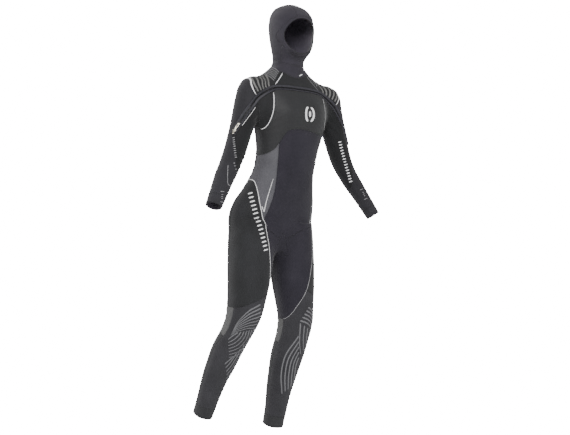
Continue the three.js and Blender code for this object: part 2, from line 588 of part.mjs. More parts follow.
// A sleeve: the cap outside the zip, the panel inside it, the elbow, forearm and wrist seal.
const SLEEVE_SEAM = [[256, 1060], [255, 1011], [251, 960], [245, 925], [215, 890]];
const ARMHOLE_START = [[120, 1278]];
const ZIP_ON_SLEEVE = 150;       // the zip is on the sleeve beyond this distance aside
function sleeve(solid, side) {
  const onSleeve = ({ centre }) => SIGN[side] * centre.x > across(ZIP_ON_SLEEVE);
  const zipSide = zipRun(0).filter(onSleeve);
  if (side === 'L') zipSide.reverse();
  const onArm = ([x, z]) => {
    const { x: placedX, z: placedZ } = toArm(side, new THREE.Vector3(x, 0, z));
    return [placedX, placedZ];
  };
  const seam = [
    ...drawn(ARMHOLE_START).map(onArm),
    ...zipSide.map(({ centre }) => [centre.x, centre.z]),
    ...drawn(SLEEVE_SEAM).map(onArm),
  ];
  const halves = (part) => {
    const [left, right] = cutAlong(part, seam, 'front');
    return side === 'R' ? { inner: left, outer: right } : { inner: right, outer: left };
  };
  const elbow = armAxis(side, ELBOW_HEIGHT);
  const wrist = armAxis(side, WRIST_HEIGHT);
  const shift = (point, down, distance) => point.clone().addScaledVector(down, distance);
  const [upperArm, belowShoulder] =
    cutAcross(solid, shift(elbow.centre, elbow.down, -ELBOW_LENGTH / 2), elbow.down);
  const [elbowRing, lowerArm] =
    cutAcross(belowShoulder, shift(elbow.centre, elbow.down, ELBOW_LENGTH / 2), elbow.down);
  const [forearm, sealAndWaste] =
    cutAcross(lowerArm, shift(wrist.centre, wrist.down, -WRIST_SEAL_LENGTH), wrist.down);
  const seal = sealAndWaste.subtract(beyond(wrist.centre, wrist.down));
  return { upper: halves(upperArm), elbow: elbowRing, forearm, seal };
}
const sleeves = { R: sleeve(rightArm, 'R'), L: sleeve(leftArm, 'L') };

// ---- The slider and its pull ------------------------------------------------------------
// Drawn about the slider's middle: x runs up the zip, y across it and z out of the sleeve.
function block([x0, x1], [y0, y1], [z0, z1]) {
  const box = new THREE.BoxGeometry(x1 - x0, y1 - y0, z1 - z0);
  box.translate((x0 + x1) / 2, (y0 + y1) / 2, (z0 + z1) / 2);
  return toSolid(box);
}

function rod(radius, y0, y1, z) {
  const cylinder = new THREE.CylinderGeometry(radius, radius, y1 - y0, 12);
  cylinder.translate(0, (y0 + y1) / 2, z);
  return toSolid(cylinder);
}

const plateBottom = ZIP_PROUD + ZIP_CLEARANCE;
const plateTop = plateBottom + SLIDER_PLATE;
const EYE_WALL = 1.3;            // round the pin, at the pull's end
const EAR_WALL = 1.4;            // before and behind the pin
const EAR_CAP = 1;               // over the pin
const OVERLAP = 0.5;             // pieces of one casting run this far into each other
const NOSE_TAPER = 0.62;         // width of the slider's tail, as a share of its nose
const NOSE_START = 0.3;          // where the round nose starts, as a share of the half length
const WEB_END = 0.6;             // where the tongue ends, as a share of the half length
const FOOT_RISE = 0.2;           // the tongue's lower edge above the foot's
const eyeRadius = PIN_RADIUS + ZIP_CLEARANCE + EYE_WALL;
const pinHeight = plateTop + eyeRadius + ZIP_CLEARANCE;
const halfSlider = SLIDER_LENGTH / 2;
const halfWidth = SLIDER_WIDTH / 2;
const earInner = halfWidth - EAR_THICKNESS;
const webEdge = SLIDER_WEB / 2;
const footEdge = tapeNear - ZIP_CLEARANCE;
const footTop = TEETH_TOP - TEETH_DEPTH - ZIP_CLEARANCE;
const footBottom = -TAPE_DEPTH;

const nose = new THREE.Shape();
nose.moveTo(-halfSlider, -halfWidth * NOSE_TAPER);
nose.lineTo(halfSlider * NOSE_START, -halfWidth);
nose.absarc(halfSlider * NOSE_START, 0, halfWidth, -Math.PI / 2, Math.PI / 2, false);
nose.lineTo(-halfSlider, halfWidth * NOSE_TAPER);
const plate = new THREE.ExtrudeGeometry(nose, {
  depth: SLIDER_PLATE, bevelEnabled: false, curveSegments: 8,
});
plate.translate(0, 0, plateBottom);
const earLength = PIN_RADIUS + EAR_WALL;
const ears = [-1, 1].map((way) => {
  const edges = [way * earInner, way * halfWidth].sort((a, b) => a - b);
  return block([-earLength, earLength], edges,
    [plateTop - OVERLAP, pinHeight + PIN_RADIUS + EAR_CAP]);
});
const webRun = [-halfSlider, halfSlider * WEB_END];
const slider = join([
  toSolid(plate),
  block(webRun, [-webEdge, webEdge], [footBottom + FOOT_RISE, plateBottom + OVERLAP]),
  block(webRun, [-footEdge, footEdge], [footBottom, footTop]),
  ...ears,
  rod(PIN_RADIUS, -earInner - OVERLAP, earInner + OVERLAP, pinHeight),
]);

const PULL_DROOP = THREE.MathUtils.degToRad(6);
const pullEdge = Math.min(PULL_WIDTH / 2, earInner - ZIP_CLEARANCE);
const tabStart = PIN_RADIUS + 2 * ZIP_CLEARANCE;
const tabOutline = new THREE.Shape();
tabOutline.moveTo(tabStart, -pullEdge);
tabOutline.lineTo(PULL_LENGTH - pullEdge, -pullEdge);
tabOutline.absarc(PULL_LENGTH - pullEdge, 0, pullEdge, -Math.PI / 2, Math.PI / 2, false);
tabOutline.lineTo(tabStart, pullEdge);
const tab = new THREE.ExtrudeGeometry(tabOutline, {
  depth: PULL_THICKNESS, bevelEnabled: false, curveSegments: 8,
});
tab.translate(0, 0, -PULL_THICKNESS / 2);
const eyeHole = rod(PIN_RADIUS + ZIP_CLEARANCE, -PULL_WIDTH, PULL_WIDTH, 0);
const pull = toSolid(tab).add(rod(eyeRadius, -pullEdge, pullEdge, 0)).subtract(eyeHole);

// ---- The assembly -----------------------------------------------------------------------
const finish = (color, roughness, metalness = 0) =>
  new THREE.MeshStandardMaterial({ color, roughness, metalness });
const plumJersey = finish(0x3b3740, 0.9);
const blackJersey = finish(0x333335, 0.9);
const meshSkin = finish(0x3a3a3c, 0.8);
const greyJersey = finish(0x68676b, 0.9);
const charcoalJersey = finish(0x48474b, 0.9);
const smoothSkin = finish(0x2b2b2d, 0.5);
const zipTape = finish(0x2c2c2f, 0.85);
const nylonTeeth = finish(0x1d1d1f, 0.45);
const paleMetal = finish(0xc9c3b6, 0.35, 0.9);

function toGeometry(solid) {
  const mesh = solid.getMesh();
  const geometry = new THREE.BufferGeometry();
  geometry.setAttribute('position', new THREE.Float32BufferAttribute(mesh.vertProperties, 3));
  geometry.setIndex([...mesh.triVerts]);
  return geometry;
}

const wetsuit = new THREE.Group();
function add(name, solid, material, parent = wetsuit) {
  const mesh = new THREE.Mesh(toGeometry(solid), material);
  mesh.name = name;
  parent.add(mesh);
}

add('yoke_front', yokeFront, blackJersey);
add('yoke_back', yokeBack, blackJersey);
add('shoulder_panel_right', shoulderRight, blackJersey);
add('shoulder_panel_left', shoulderLeft, blackJersey);
add('chest_panel', chest, meshSkin);
add('underarm_panel_right', underarmRight, blackJersey);
add('underarm_panel_left', underarmLeft, blackJersey);
add('belly_panel', belly, plumJersey);
add('side_panel_right', sideRight, greyJersey);
add('side_panel_left', sideLeft, greyJersey);
add('upper_back_panel', upperBack, blackJersey);
add('lower_back_panel', lowerBack, plumJersey);
add('seat_panel', seat, blackJersey);
add('crotch_gusset', gusset, blackJersey);
add('thigh_outer_right', thighOuterRight, blackJersey);
add('thigh_outer_left', thighOuterLeft, blackJersey);
add('thigh_inner_right', thighInnerRight, plumJersey);
add('thigh_inner_left', thighInnerLeft, plumJersey);
add('hamstring_panel_right', hamstringRight, blackJersey);
add('hamstring_panel_left', hamstringLeft, blackJersey);
add('neck_collar', collar, plumJersey);
add('hood_centre_panel', hoodCentre, plumJersey);
add('hood_side_right', hoodRight, plumJersey);
add('hood_side_left', hoodLeft, plumJersey);
add('hood_chin_panel', chinSide, plumJersey);
add('face_seal', faceSeal, smoothSkin);

Object.entries({ right: 'R', left: 'L' }).forEach(([word, side]) => {
  const { upper, elbow, forearm, seal } = sleeves[side];
  add(`sleeve_cap_${word}`, upper.outer, charcoalJersey);
  add(`sleeve_inner_${word}`, upper.inner, blackJersey);
  add(`elbow_panel_${word}`, elbow, blackJersey);
  add(`forearm_panel_${word}`, forearm, charcoalJersey);
  add(`wrist_seal_${word}`, seal, smoothSkin);
  const leg = lowerLegs[side];
  add(`knee_panel_${word}`, leg.kneeFront, charcoalJersey);
  add(`knee_back_${word}`, leg.kneeBack, greyJersey);
  add(`shin_panel_${word}`, leg.shin, charcoalJersey);
  add(`calf_panel_${word}`, leg.calf, charcoalJersey);
  add(`ankle_seal_${word}`, leg.seal, smoothSkin);
});

add('zip_tape_upper', zipStrip(zipRun(0), [-tapeFar, -tapeNear], tapeSpan), zipTape);
add('zip_tape_lower', zipStrip(zipRun(0), [tapeNear, tapeFar], tapeSpan), zipTape);
add('zip_teeth_upper', zipStrip(zipRun(teethMargin), [-teethFar, -teethNear], teethSpan),
  nylonTeeth);
add('zip_teeth_lower', zipStrip(zipRun(teethMargin), [teethNear, teethFar], teethSpan),
  nylonTeeth);
add('zip_underlay', zipStrip(zipRun(0), [-UNDERLAY_WIDTH / 2, UNDERLAY_WIDTH / 2],
  [underlayTop - UNDERLAY_THICKNESS, underlayTop]), blackJersey);
add('zip_stop_right', zipStrip(stopRun('R'), [-teethFar, teethFar], teethSpan), paleMetal);
add('zip_stop_left', zipStrip(stopRun('L'), [-teethFar, teethFar], teethSpan), paleMetal);

const restAt = teethMargin + ZIP_CLEARANCE + halfSlider;
const rest = zipEnds.R.at(restAt);
const sliderGroup = new THREE.Group();
const sliderBasis = new THREE.Matrix4().makeBasis(
  rest.along.clone().negate(), rest.side.clone().negate(), rest.out);
sliderGroup.quaternion.setFromRotationMatrix(sliderBasis);
sliderGroup.position.copy(rest.centre);
wetsuit.add(sliderGroup);
add('zip_slider', slider, paleMetal, sliderGroup);
const pullGroup = new THREE.Group();
pullGroup.position.set(0, 0, pinHeight);
pullGroup.rotation.y = PULL_DROOP;
sliderGroup.add(pullGroup);
add('zip_pull', pull, paleMetal, pullGroup);

export default wetsuit;
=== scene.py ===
import math

import bmesh
import bpy
import numpy as np
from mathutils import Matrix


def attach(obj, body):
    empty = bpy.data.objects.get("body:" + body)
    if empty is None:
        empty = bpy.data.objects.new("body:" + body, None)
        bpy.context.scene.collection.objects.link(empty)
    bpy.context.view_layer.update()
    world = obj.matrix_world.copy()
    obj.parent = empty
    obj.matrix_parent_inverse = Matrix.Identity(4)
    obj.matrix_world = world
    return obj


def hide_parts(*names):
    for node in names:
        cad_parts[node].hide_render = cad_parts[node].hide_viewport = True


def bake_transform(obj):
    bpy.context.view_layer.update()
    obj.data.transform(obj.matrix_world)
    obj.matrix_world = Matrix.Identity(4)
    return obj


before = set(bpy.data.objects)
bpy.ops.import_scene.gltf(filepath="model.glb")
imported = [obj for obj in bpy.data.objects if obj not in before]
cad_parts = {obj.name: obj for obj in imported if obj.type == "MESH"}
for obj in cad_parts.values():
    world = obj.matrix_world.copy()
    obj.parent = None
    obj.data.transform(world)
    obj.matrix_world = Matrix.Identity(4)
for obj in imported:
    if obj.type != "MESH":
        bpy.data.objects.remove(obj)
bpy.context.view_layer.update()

import openvdb
from mathutils import Matrix, Vector

# A hooded full wetsuit, worn: panels of 5 mm neoprene foam with knitted nylon on both faces,
# glued edge to edge and blind-stitched, with a long curved zip over the chest.

# ---- The studio ---------------------------------------------------------------------------
# A plain white floor, a large soft light in front and above, and fill from both sides. The
# camera stands off the suit's front right at mid height, and is rolled a little.
CAMERA_AZIMUTH = math.radians(-33)
CAMERA_DISTANCE = 5.2
CAMERA_ROLL = math.radians(4.3)
AIM_HEIGHT = -0.1725
AIM_ASIDE = 0.038
PICTURE_WIDTH = 2.166          # what the camera takes in at the suit
FLOOR_HEIGHT = -1.02
CHEST_HEIGHT = -0.1            # where the lights point
AIR_LIGHT = 0.42               # how strongly the surroundings light the suit
WHITE_OUT = 20.0               # how bright the background is where the camera sees it


def add_node(tree, kind, inputs=None, **settings):
    """Adds a node; each input is a value or another node's output."""
    made = tree.nodes.new(kind)
    for name, value in settings.items():
        setattr(made, name, value)
    for socket, value in (inputs or {}).items():
        if isinstance(value, bpy.types.NodeSocket):
            tree.links.new(value, made.inputs[socket])
        else:
            made.inputs[socket].default_value = value
    return made


def paint(code):
    """An sRGB hex colour as the linear colour that a shader takes."""
    parts = [int(code[i:i + 2], 16) / 255 for i in (1, 3, 5)]
    linear = [c / 12.92 if c <= 0.04045 else ((c + 0.055) / 1.055) ** 2.4 for c in parts]
    return (*linear, 1.0)


def new_material(name):
    material = bpy.data.materials.new(name)
    material.use_nodes = True
    material.node_tree.nodes.clear()
    return material, material.node_tree


def finish_material(tree, inputs):
    """Ends a material with one Principled shader, given its inputs."""
    shader = add_node(tree, "ShaderNodeBsdfPrincipled", inputs)
    add_node(tree, "ShaderNodeOutputMaterial", {"Surface": shader.outputs[0]})


def two_tones(tree, share, base, light):
    """A colour that goes from one tone to another as share goes from 0 to 1."""
    ramp = add_node(tree, "ShaderNodeValToRGB", {"Fac": share})
    ramp.color_ramp.elements[0].color = paint(base)
    ramp.color_ramp.elements[1].color = paint(light)
    return ramp.outputs["Color"]


def linked(name, data):
    """A new object in the scene that shows a mesh, a light or a camera."""
    made = bpy.data.objects.new(name, data)
    bpy.context.collection.objects.link(made)
    return made


aside = Vector((math.cos(CAMERA_AZIMUTH), math.sin(CAMERA_AZIMUTH), 0))
towards_camera = Vector((math.sin(CAMERA_AZIMUTH), -math.cos(CAMERA_AZIMUTH), 0))
target = aside * AIM_ASIDE + Vector((0, 0, AIM_HEIGHT))

camera_data = bpy.data.cameras.new("camera")
camera_data.sensor_width = 36
camera_data.lens = camera_data.sensor_width * CAMERA_DISTANCE / PICTURE_WIDTH
camera = linked("camera", camera_data)
camera.location = target + towards_camera * CAMERA_DISTANCE
camera.matrix_world = (
    Matrix.Translation(camera.location)
    @ (target - camera.location).to_track_quat("-Z", "Y").to_matrix().to_4x4()
    @ Matrix.Rotation(CAMERA_ROLL, 4, "Z")
)
bpy.context.scene.camera = camera


def soft_light(name, place, size, watts):
    """A square area light that faces the suit's chest."""
    data = bpy.data.lights.new(name, "AREA")
    data.size = size
    data.energy = watts
    light = linked(name, data)
    light.location = place
    aim = Vector((0, 0, CHEST_HEIGHT)) - Vector(place)
    light.rotation_euler = aim.to_track_quat("-Z", "Y").to_euler()


soft_light("key_light", (-2.4, -3.6, 2.6), 2.4, 215)
soft_light("fill_light", (3.4, -2.4, 0.8), 2.6, 22)
soft_light("back_light", (-1.6, 3.4, 2.2), 2.2, 60)
soft_light("rim_light", (2.6, 2.6, 0.6), 2.0, 22)

world = bpy.data.worlds.new("studio_air")
world.use_nodes = True
world.node_tree.nodes.clear()
air = world.node_tree
seen = add_node(air, "ShaderNodeLightPath")
around = add_node(air, "ShaderNodeMapRange", {
    "Value": seen.outputs["Is Camera Ray"], "To Min": AIR_LIGHT, "To Max": WHITE_OUT})
backdrop = add_node(air, "ShaderNodeBackground", {
    "Color": paint("#ffffff"), "Strength": around.outputs["Result"]})
add_node(air, "ShaderNodeOutputWorld", {"Surface": backdrop.outputs[0]})
bpy.context.scene.world = world

bpy.ops.mesh.primitive_plane_add(size=60, location=(0, 0, FLOOR_HEIGHT))
floor = bpy.context.object
floor.name = "studio_floor"
floor_paint, tree = new_material("white_studio_floor")
speckle = add_node(tree, "ShaderNodeTexNoise", {"Scale": 3.0, "Detail": 3.0})
tint = two_tones(tree, speckle.outputs["Fac"], "#f4f4f4", "#fbfbfb")
seen = add_node(tree, "ShaderNodeLightPath")
glow = add_node(tree, "ShaderNodeMath", {0: seen.outputs["Is Camera Ray"], 1: WHITE_OUT},
                operation="MULTIPLY")
finish_material(tree, {
    "Base Color": tint, "Roughness": 0.9,
    "Emission Color": paint("#ffffff"), "Emission Strength": glow.outputs["Value"]})
floor.data.materials.append(floor_paint)

# ---- The body form ------------------------------------------------------------------------
# The shape that the panels are cut to: cross-sections of the dressed body in millimetres,
# [height above the left ankle hem, centre x, centre y, half width, depth in front, behind].
MM = 0.001
WAIST = 980
TORSO = [
    (690, 0, 22, 118, 70, 85), (720, 0, 24, 152, 86, 108), (760, 0, 26, 167, 90, 120),
    (800, 0, 25, 170, 90, 120), (850, 0, 14, 164, 90, 108), (910, 0, -10, 142, 88, 90),
    (980, 0, -33, 122, 84, 80), (1040, 0, -46, 122, 82, 82), (1100, 0, -52, 132, 84, 88),
    (1160, 0, -50, 146, 88, 94), (1220, 0, -44, 158, 88, 102), (1265, 0, -36, 162, 80, 102),
    (1300, 0, -28, 150, 66, 90), (1328, 0, -20, 124, 58, 78), (1350, 0, -14, 92, 54, 66),
    (1378, 0, -10, 62, 54, 58), (1405, 0, -11, 59, 60, 57), (1430, 0, -15, 66, 86, 66),
    (1460, 0, -19, 74, 95, 80), (1500, 0, -18, 79, 93, 92), (1540, 0, -14, 79, 87, 94),
    (1575, 0, -8, 70, 78, 82), (1600, 0, -2, 48, 53, 56), (1613, 0, 0, 20, 24, 26),
]
RIGHT_LEG = [
    (-20, -158, 188, 37, 42, 44), (20, -154, 172, 37, 42, 44), (90, -148, 148, 41, 42, 46),
    (160, -141, 124, 47, 46, 54), (240, -132, 88, 55, 54, 66), (310, -125, 52, 59, 58, 72),
    (370, -119, 14, 60, 62, 68), (420, -115, -12, 62, 68, 72), (480, -109, -18, 67, 70, 80),
    (560, -101, -10, 75, 78, 88), (640, -93, 2, 81, 84, 94), (720, -86, 12, 84, 86, 102),
    (790, -82, 22, 82, 86, 102),
]
LEFT_LEG = [
    (-50, 114, 93, 38, 42, 44), (-10, 114, 84, 38, 42, 44), (70, 114, 68, 41, 42, 46),
    (140, 114, 54, 47, 46, 54), (220, 114, 32, 55, 54, 66), (300, 113, 6, 60, 60, 72),
    (360, 111, -16, 60, 62, 70), (420, 109, -28, 62, 68, 74), (480, 105, -22, 69, 72, 80),
    (560, 99, -9, 77, 80, 88), (640, 93, 2, 82, 84, 94), (720, 86, 12, 84, 86, 102),
    (790, 82, 22, 82, 86, 102),
]
ARM = [                        # x runs outwards from the body
    (790, 366, -142, 31, 31, 31), (810, 355, -134, 31, 31, 31), (840, 338, -122, 32, 32, 32),
    (890, 310, -103, 35, 36, 36), (950, 276, -80, 40, 40, 40), (1010, 244, -62, 41, 42, 42),
    (1050, 228, -55, 42, 43, 43), (1110, 210, -49, 44, 44, 45), (1180, 192, -44, 48, 47, 50),
    (1235, 178, -40, 51, 50, 54), (1285, 165, -38, 50, 50, 54), (1310, 156, -36, 38, 40, 44),
    (1322, 150, -34, 20, 22, 22),
]
TORSO_FULLNESS = 2.3
LIMB_FULLNESS = 2.1
BUST_X, BUST_HEIGHT, BUST_PUSH = 72, 1205, 30
BUST_SPREAD_X, BUST_SPREAD_Z, BUST_BEHIND, BUST_FADE = 46, 44, -95, 60
ARM_SWING = {"right": 0.0, "left": math.radians(3)}
SHOULDER_PIVOT = (165, 1290)
SIDES = {"right": -1, "left": 1}


class Loft:
    """Cross-sections that run smoothly from station to station, at any heights at once."""

    def __init__(self, stations, fullness):
        table = np.array(stations, float)
        self.heights = (table[:, 0] - WAIST) * MM
        self.values = table[:, 1:] * MM
        self.fullness = fullness
        rise = np.diff(self.values, axis=0) / np.diff(self.heights)[:, None]
        spans = np.diff(self.heights)[:, None]
        inner = (rise[:-1] * spans[1:] + rise[1:] * spans[:-1]) / (spans[1:] + spans[:-1])
        self.slopes = np.vstack([rise[:1], inner, rise[-1:]])

    def at(self, z):
        """Centre x and y, half width, depth in front and behind, on a last axis."""
        last = len(self.heights) - 2
        i = np.clip(np.searchsorted(self.heights, z, side="right") - 1, 0, last)
        span = (self.heights[i + 1] - self.heights[i])[..., None]
        t = np.clip((z - self.heights[i])[..., None] / span, 0, 1)
        start = (2 * t ** 3 - 3 * t ** 2 + 1) * self.values[i]
        leave = (t ** 3 - 2 * t ** 2 + t) * span * self.slopes[i]
        end = (3 * t ** 2 - 2 * t ** 3) * self.values[i + 1]
        arrive = (t ** 3 - t ** 2) * span * self.slopes[i + 1]
        return start + leave + end + arrive

    def depth(self, x, y, z, section):
        """About how far a point lies outside the loft."""
        dx = x - section[..., 0]
        dy = y - section[..., 1]
        p = self.fullness
        reach = np.where(dy < 0, section[..., 3], section[..., 4])
        ratio = (np.abs(dx / section[..., 2]) ** p + np.abs(dy / reach) ** p) ** (1 / p)
        spread = np.sqrt(dx * dx + dy * dy)
        aside = spread - spread / np.maximum(ratio, 1e-6)
        ends = np.maximum(z - self.heights[-1], self.heights[0] - z)
        return np.maximum(aside, ends)

    def centre(self, height):
        return self.at(np.array((height - WAIST) * MM))[:2]


torso = Loft(TORSO, TORSO_FULLNESS)
legs = {"right": Loft(RIGHT_LEG, TORSO_FULLNESS), "left": Loft(LEFT_LEG, TORSO_FULLNESS)}
arm = Loft(ARM, LIMB_FULLNESS)
SHOULDER_BLEND = 0.030         # how softly the sleeves run into the trunk
HIP_BLEND = 0.008
CROTCH_BLEND = 0.034           # softer between the thighs
CROTCH_SPREAD = 0.045
FAR_OFF = 1.0


def unpush_bust(x, y, z):
    """Where a point at the bust lay before the bust was pushed out."""
    swell = sum(np.exp(-((x / MM - way * BUST_X) ** 2) / (2 * BUST_SPREAD_X ** 2)
                       - ((z / MM + WAIST - BUST_HEIGHT) ** 2) / (2 * BUST_SPREAD_Z ** 2))
                for way in (-1, 1))
    push = BUST_PUSH * MM * swell
    behind, fade = BUST_BEHIND * MM, BUST_FADE * MM
    part = (y + push * behind / fade) / (1 + push / fade)
    moved = np.where(part < behind - fade, y + push, part)
    return np.where(y > behind, y, moved)


def to_drafted_arm(side, x, z):
    """The place on the drafted arm of a point of the right or left arm."""
    turn = ARM_SWING[side]
    pivot_x, pivot_z = SHOULDER_PIVOT[0] * MM, (SHOULDER_PIVOT[1] - WAIST) * MM
    out, rise = SIDES[side] * x - pivot_x, z - pivot_z
    return (out * math.cos(turn) + rise * math.sin(turn) + pivot_x,
            -out * math.sin(turn) + rise * math.cos(turn) + pivot_z)


def from_drafted_arm(side, x, z):
    """The place on the right or left arm of a point of the drafted arm."""
    turn = ARM_SWING[side]
    pivot_x, pivot_z = SHOULDER_PIVOT[0] * MM, (SHOULDER_PIVOT[1] - WAIST) * MM
    out, rise = x - pivot_x, z - pivot_z
    return (SIDES[side] * (out * math.cos(turn) - rise * math.sin(turn) + pivot_x),
            out * math.sin(turn) + rise * math.cos(turn) + pivot_z)


def blended(a, b, width):
    """The lesser of two depths, with a soft fillet where they are alike."""
    share = np.clip(0.5 + 0.5 * (b - a) / width, 0, 1)
    return b * (1 - share) + a * share - width * share * (1 - share)


def form_depth(x, y, z):
    """How far points lie outside the dressed body; x, y and z broadcast together."""
    pushed = unpush_bust(x, y, z)
    depth = torso.depth(x, pushed, z, torso.at(z))
    for side, loft in legs.items():
        width = HIP_BLEND + CROTCH_BLEND * np.exp(-(x / CROTCH_SPREAD) ** 2)
        depth = blended(depth, loft.depth(x, y, z, loft.at(z)), width)
    for side in SIDES:
        out, rise = to_drafted_arm(side, x, z)
        depth = blended(depth, arm.depth(out, y, rise, arm.at(rise)), SHOULDER_BLEND)
    return depth


def slope_of(points):
    """The depth at each point and its gradient."""
    step = 0.0005
    x, y, z = points.T
    along = [(form_depth(x + step * i, y + step * j, z + step * k)
              - form_depth(x - step * i, y - step * j, z - step * k)) / (2 * step)
             for i, j, k in ((1, 0, 0), (0, 1, 0), (0, 0, 1))]
    return form_depth(x, y, z), np.stack(along, 1)


def onto_form(points, passes=3):
    """The points moved onto the form, and the outward normals there."""
    for _ in range(passes):
        depth, slope = slope_of(points)
        length = np.maximum((slope ** 2).sum(1), 0.05)
        points = points - np.clip(depth / length, -0.004, 0.004)[:, None] * slope
    slope = slope_of(points)[1]
    return points, slope / np.linalg.norm(slope, axis=1)[:, None]


GRID = 0.0045                  # how finely the form is meshed
grid_low = np.array([-0.420, -0.230, -1.030])
grid_high = np.array([0.440, 0.270, 0.650])
counts = np.ceil((grid_high - grid_low) / GRID).astype(int)
gx, gy, gz = (grid_low[i] + GRID * np.arange(counts[i]) for i in range(3))
depths = form_depth(gx[:, None, None], gy[None, :, None], gz[None, None, :]).astype(np.float32)
grid = openvdb.FloatGrid(background=FAR_OFF)
grid.copyFromArray(depths)
rough, quads = grid.convertToQuads(isovalue=0.0)
rough = rough.astype(float) * GRID + grid_low
skin_points, skin_normals = onto_form(rough)

# ---- Cutting the panels -------------------------------------------------------------------
# The skin is one sheet of triangles that seam lines divide, as a cutter follows a pattern.
# A seam line is drawn on the front or side view of the form and is a smooth curve.
first, second, third, fourth = (skin_points[quads[:, i]] for i in range(4))
short = ((first - third) ** 2).sum(1) <= ((second - fourth) ** 2).sum(1)
triangles = np.where(
    short[:, None],
    quads[:, [0, 1, 2, 0, 2, 3]],
    quads[:, [1, 2, 3, 1, 3, 0]],
).reshape(-1, 3).astype(np.int64)
corner = skin_points[triangles]
facing = np.cross(corner[:, 1] - corner[:, 0], corner[:, 2] - corner[:, 0])
if (facing * skin_normals[triangles[:, 0]]).sum(1).mean() < 0:
    triangles = triangles[:, ::-1]
skin = {"points": skin_points, "normals": skin_normals, "triangles": triangles,
        "piece": np.zeros(len(triangles), int)}
piece_names = ["shell"]
SNAP = 0.0004                  # a corner this near to a line already lies on it
GROOVE_HALF_WIDTH = 0.0016


def piece_number(name):
    if name not in piece_names:
        piece_names.append(name)
    return piece_names.index(name)


def split_triangles(sheet, value, scope):
    """Divides the triangles in scope where value passes 0, and their neighbours to match."""
    points, triangles = sheet["points"], sheet["triangles"]
    used = np.unique(triangles[scope])
    at = np.zeros(len(points))
    at[used] = value(points[used], sheet["normals"][used])
    at[np.abs(at) < SNAP] = 0
    count = len(points)
    starts, ends = triangles, np.roll(triangles, -1, axis=1)
    keys = np.minimum(starts, ends) * count + np.maximum(starts, ends)
    changes = at[starts] * at[ends] < 0
    wanted = np.unique(keys[scope][changes[scope]])
    if len(wanted) == 0:
        return at
    hit = changes & np.isin(keys, wanted)
    low, high = wanted // count, wanted % count
    share = (at[low] / (at[low] - at[high]))[:, None]
    new_points = points[low] * (1 - share) + points[high] * share
    new_normals = sheet["normals"][low] * (1 - share) + sheet["normals"][high] * share
    new_normals /= np.linalg.norm(new_normals, axis=1)[:, None]
    made = count + np.searchsorted(wanted, keys)
    hits = hit.sum(1)
    keep = hits == 0
    parts, owners = [triangles[keep]], [np.nonzero(keep)[0]]
    for k in range(3):
        a, b, c = (triangles[:, (k + i) % 3] for i in range(3))
        m, n = made[:, k], made[:, (k + 1) % 3]
        one = (hits == 1) & hit[:, k]
        two = (hits == 2) & hit[:, k] & hit[:, (k + 1) % 3]
        for mask, corners in ((one, ((a, m, c), (m, b, c))),
                              (two, ((m, b, n), (a, m, n), (a, n, c)))):
            for trio in corners:
                parts.append(np.stack([corner[mask] for corner in trio], 1))
                owners.append(np.nonzero(mask)[0])
    owner = np.concatenate(owners)
    sheet["triangles"] = np.concatenate(parts)
    sheet["piece"] = sheet["piece"][owner]
    sheet["points"] = np.vstack([points, new_points])
    sheet["normals"] = np.vstack([sheet["normals"], new_normals])
    return np.concatenate([at, np.zeros(len(new_points))])


def divide(names, value, above=None, below=None, grooved=True):
    """Cuts the named pieces where value is 0, and renames what lies above and below it."""
    numbers = [piece_number(name) for name in names]
    offsets = (-GROOVE_HALF_WIDTH, GROOVE_HALF_WIDTH, 0) if grooved else (0,)
    for offset in offsets:
        at = split_triangles(skin, lambda places, normals: value(places, normals) - offset,
                             np.isin(skin["piece"], numbers))
    scope = np.isin(skin["piece"], numbers)
    middle = at[skin["triangles"]].sum(1)
    if above:
        skin["piece"][scope & (middle > 0)] = piece_number(above)
    if below:
        skin["piece"][scope & (middle <= 0)] = piece_number(below)


def curve_through(points, steps=12):
    """A smooth curve through points, with a number of steps from each to the next."""
    p = np.array(points)
    p = np.vstack([2 * p[0] - p[1], p, 2 * p[-1] - p[-2]])
    t = np.linspace(0, 1, steps, endpoint=False)[:, None]
    runs = [0.5 * (2 * b + (c - a) * t + (2 * a - 5 * b + 4 * c - d) * t ** 2
                   + (3 * b - a - 3 * c + d) * t ** 3)
            for a, b, c, d in zip(p[:-3], p[1:-2], p[2:-1], p[3:])]
    return np.vstack(runs + [p[-2:-1]])


def smooth_line(points):
    """A smooth curve through points given in millimetres and heights, on the form's scale."""
    return curve_through([(u * MM, (h - WAIST) * MM) for u, h in points], steps=8)


def run_on(line):
    """The line with straight ends that run far past the suit."""
    start = line[0] + (line[0] - line[1]) / np.linalg.norm(line[0] - line[1]) * 3
    end = line[-1] + (line[-1] - line[-2]) / np.linalg.norm(line[-1] - line[-2]) * 3
    return np.vstack([start, line, end])


def along_line(flat, line):
    """Distance to the left of a line on a view, and distance run along it."""
    best = np.full(len(flat), np.inf)
    signed, run = np.zeros(len(flat)), np.zeros(len(flat))
    passed = 0.0
    for a, b in zip(line[:-1], line[1:]):
        step = b - a
        length = np.linalg.norm(step)
        u, v = (flat - a).T
        t = np.clip((u * step[0] + v * step[1]) / length ** 2, 0, 1)
        du, dv = u - t * step[0], v - t * step[1]
        distance = np.sqrt(du * du + dv * dv)
        side = np.sign(step[0] * v - step[1] * u)
        near = distance < best
        best = np.where(near, distance, best)
        signed = np.where(near, side * distance, signed)
        run = np.where(near, passed + t * length, run)
        passed += length
    return signed, run


VIEW_AXES = {"front": (0, 2), "side": (1, 2)}
FLATTEST = 0.25                # least share of a view distance that lies in the surface


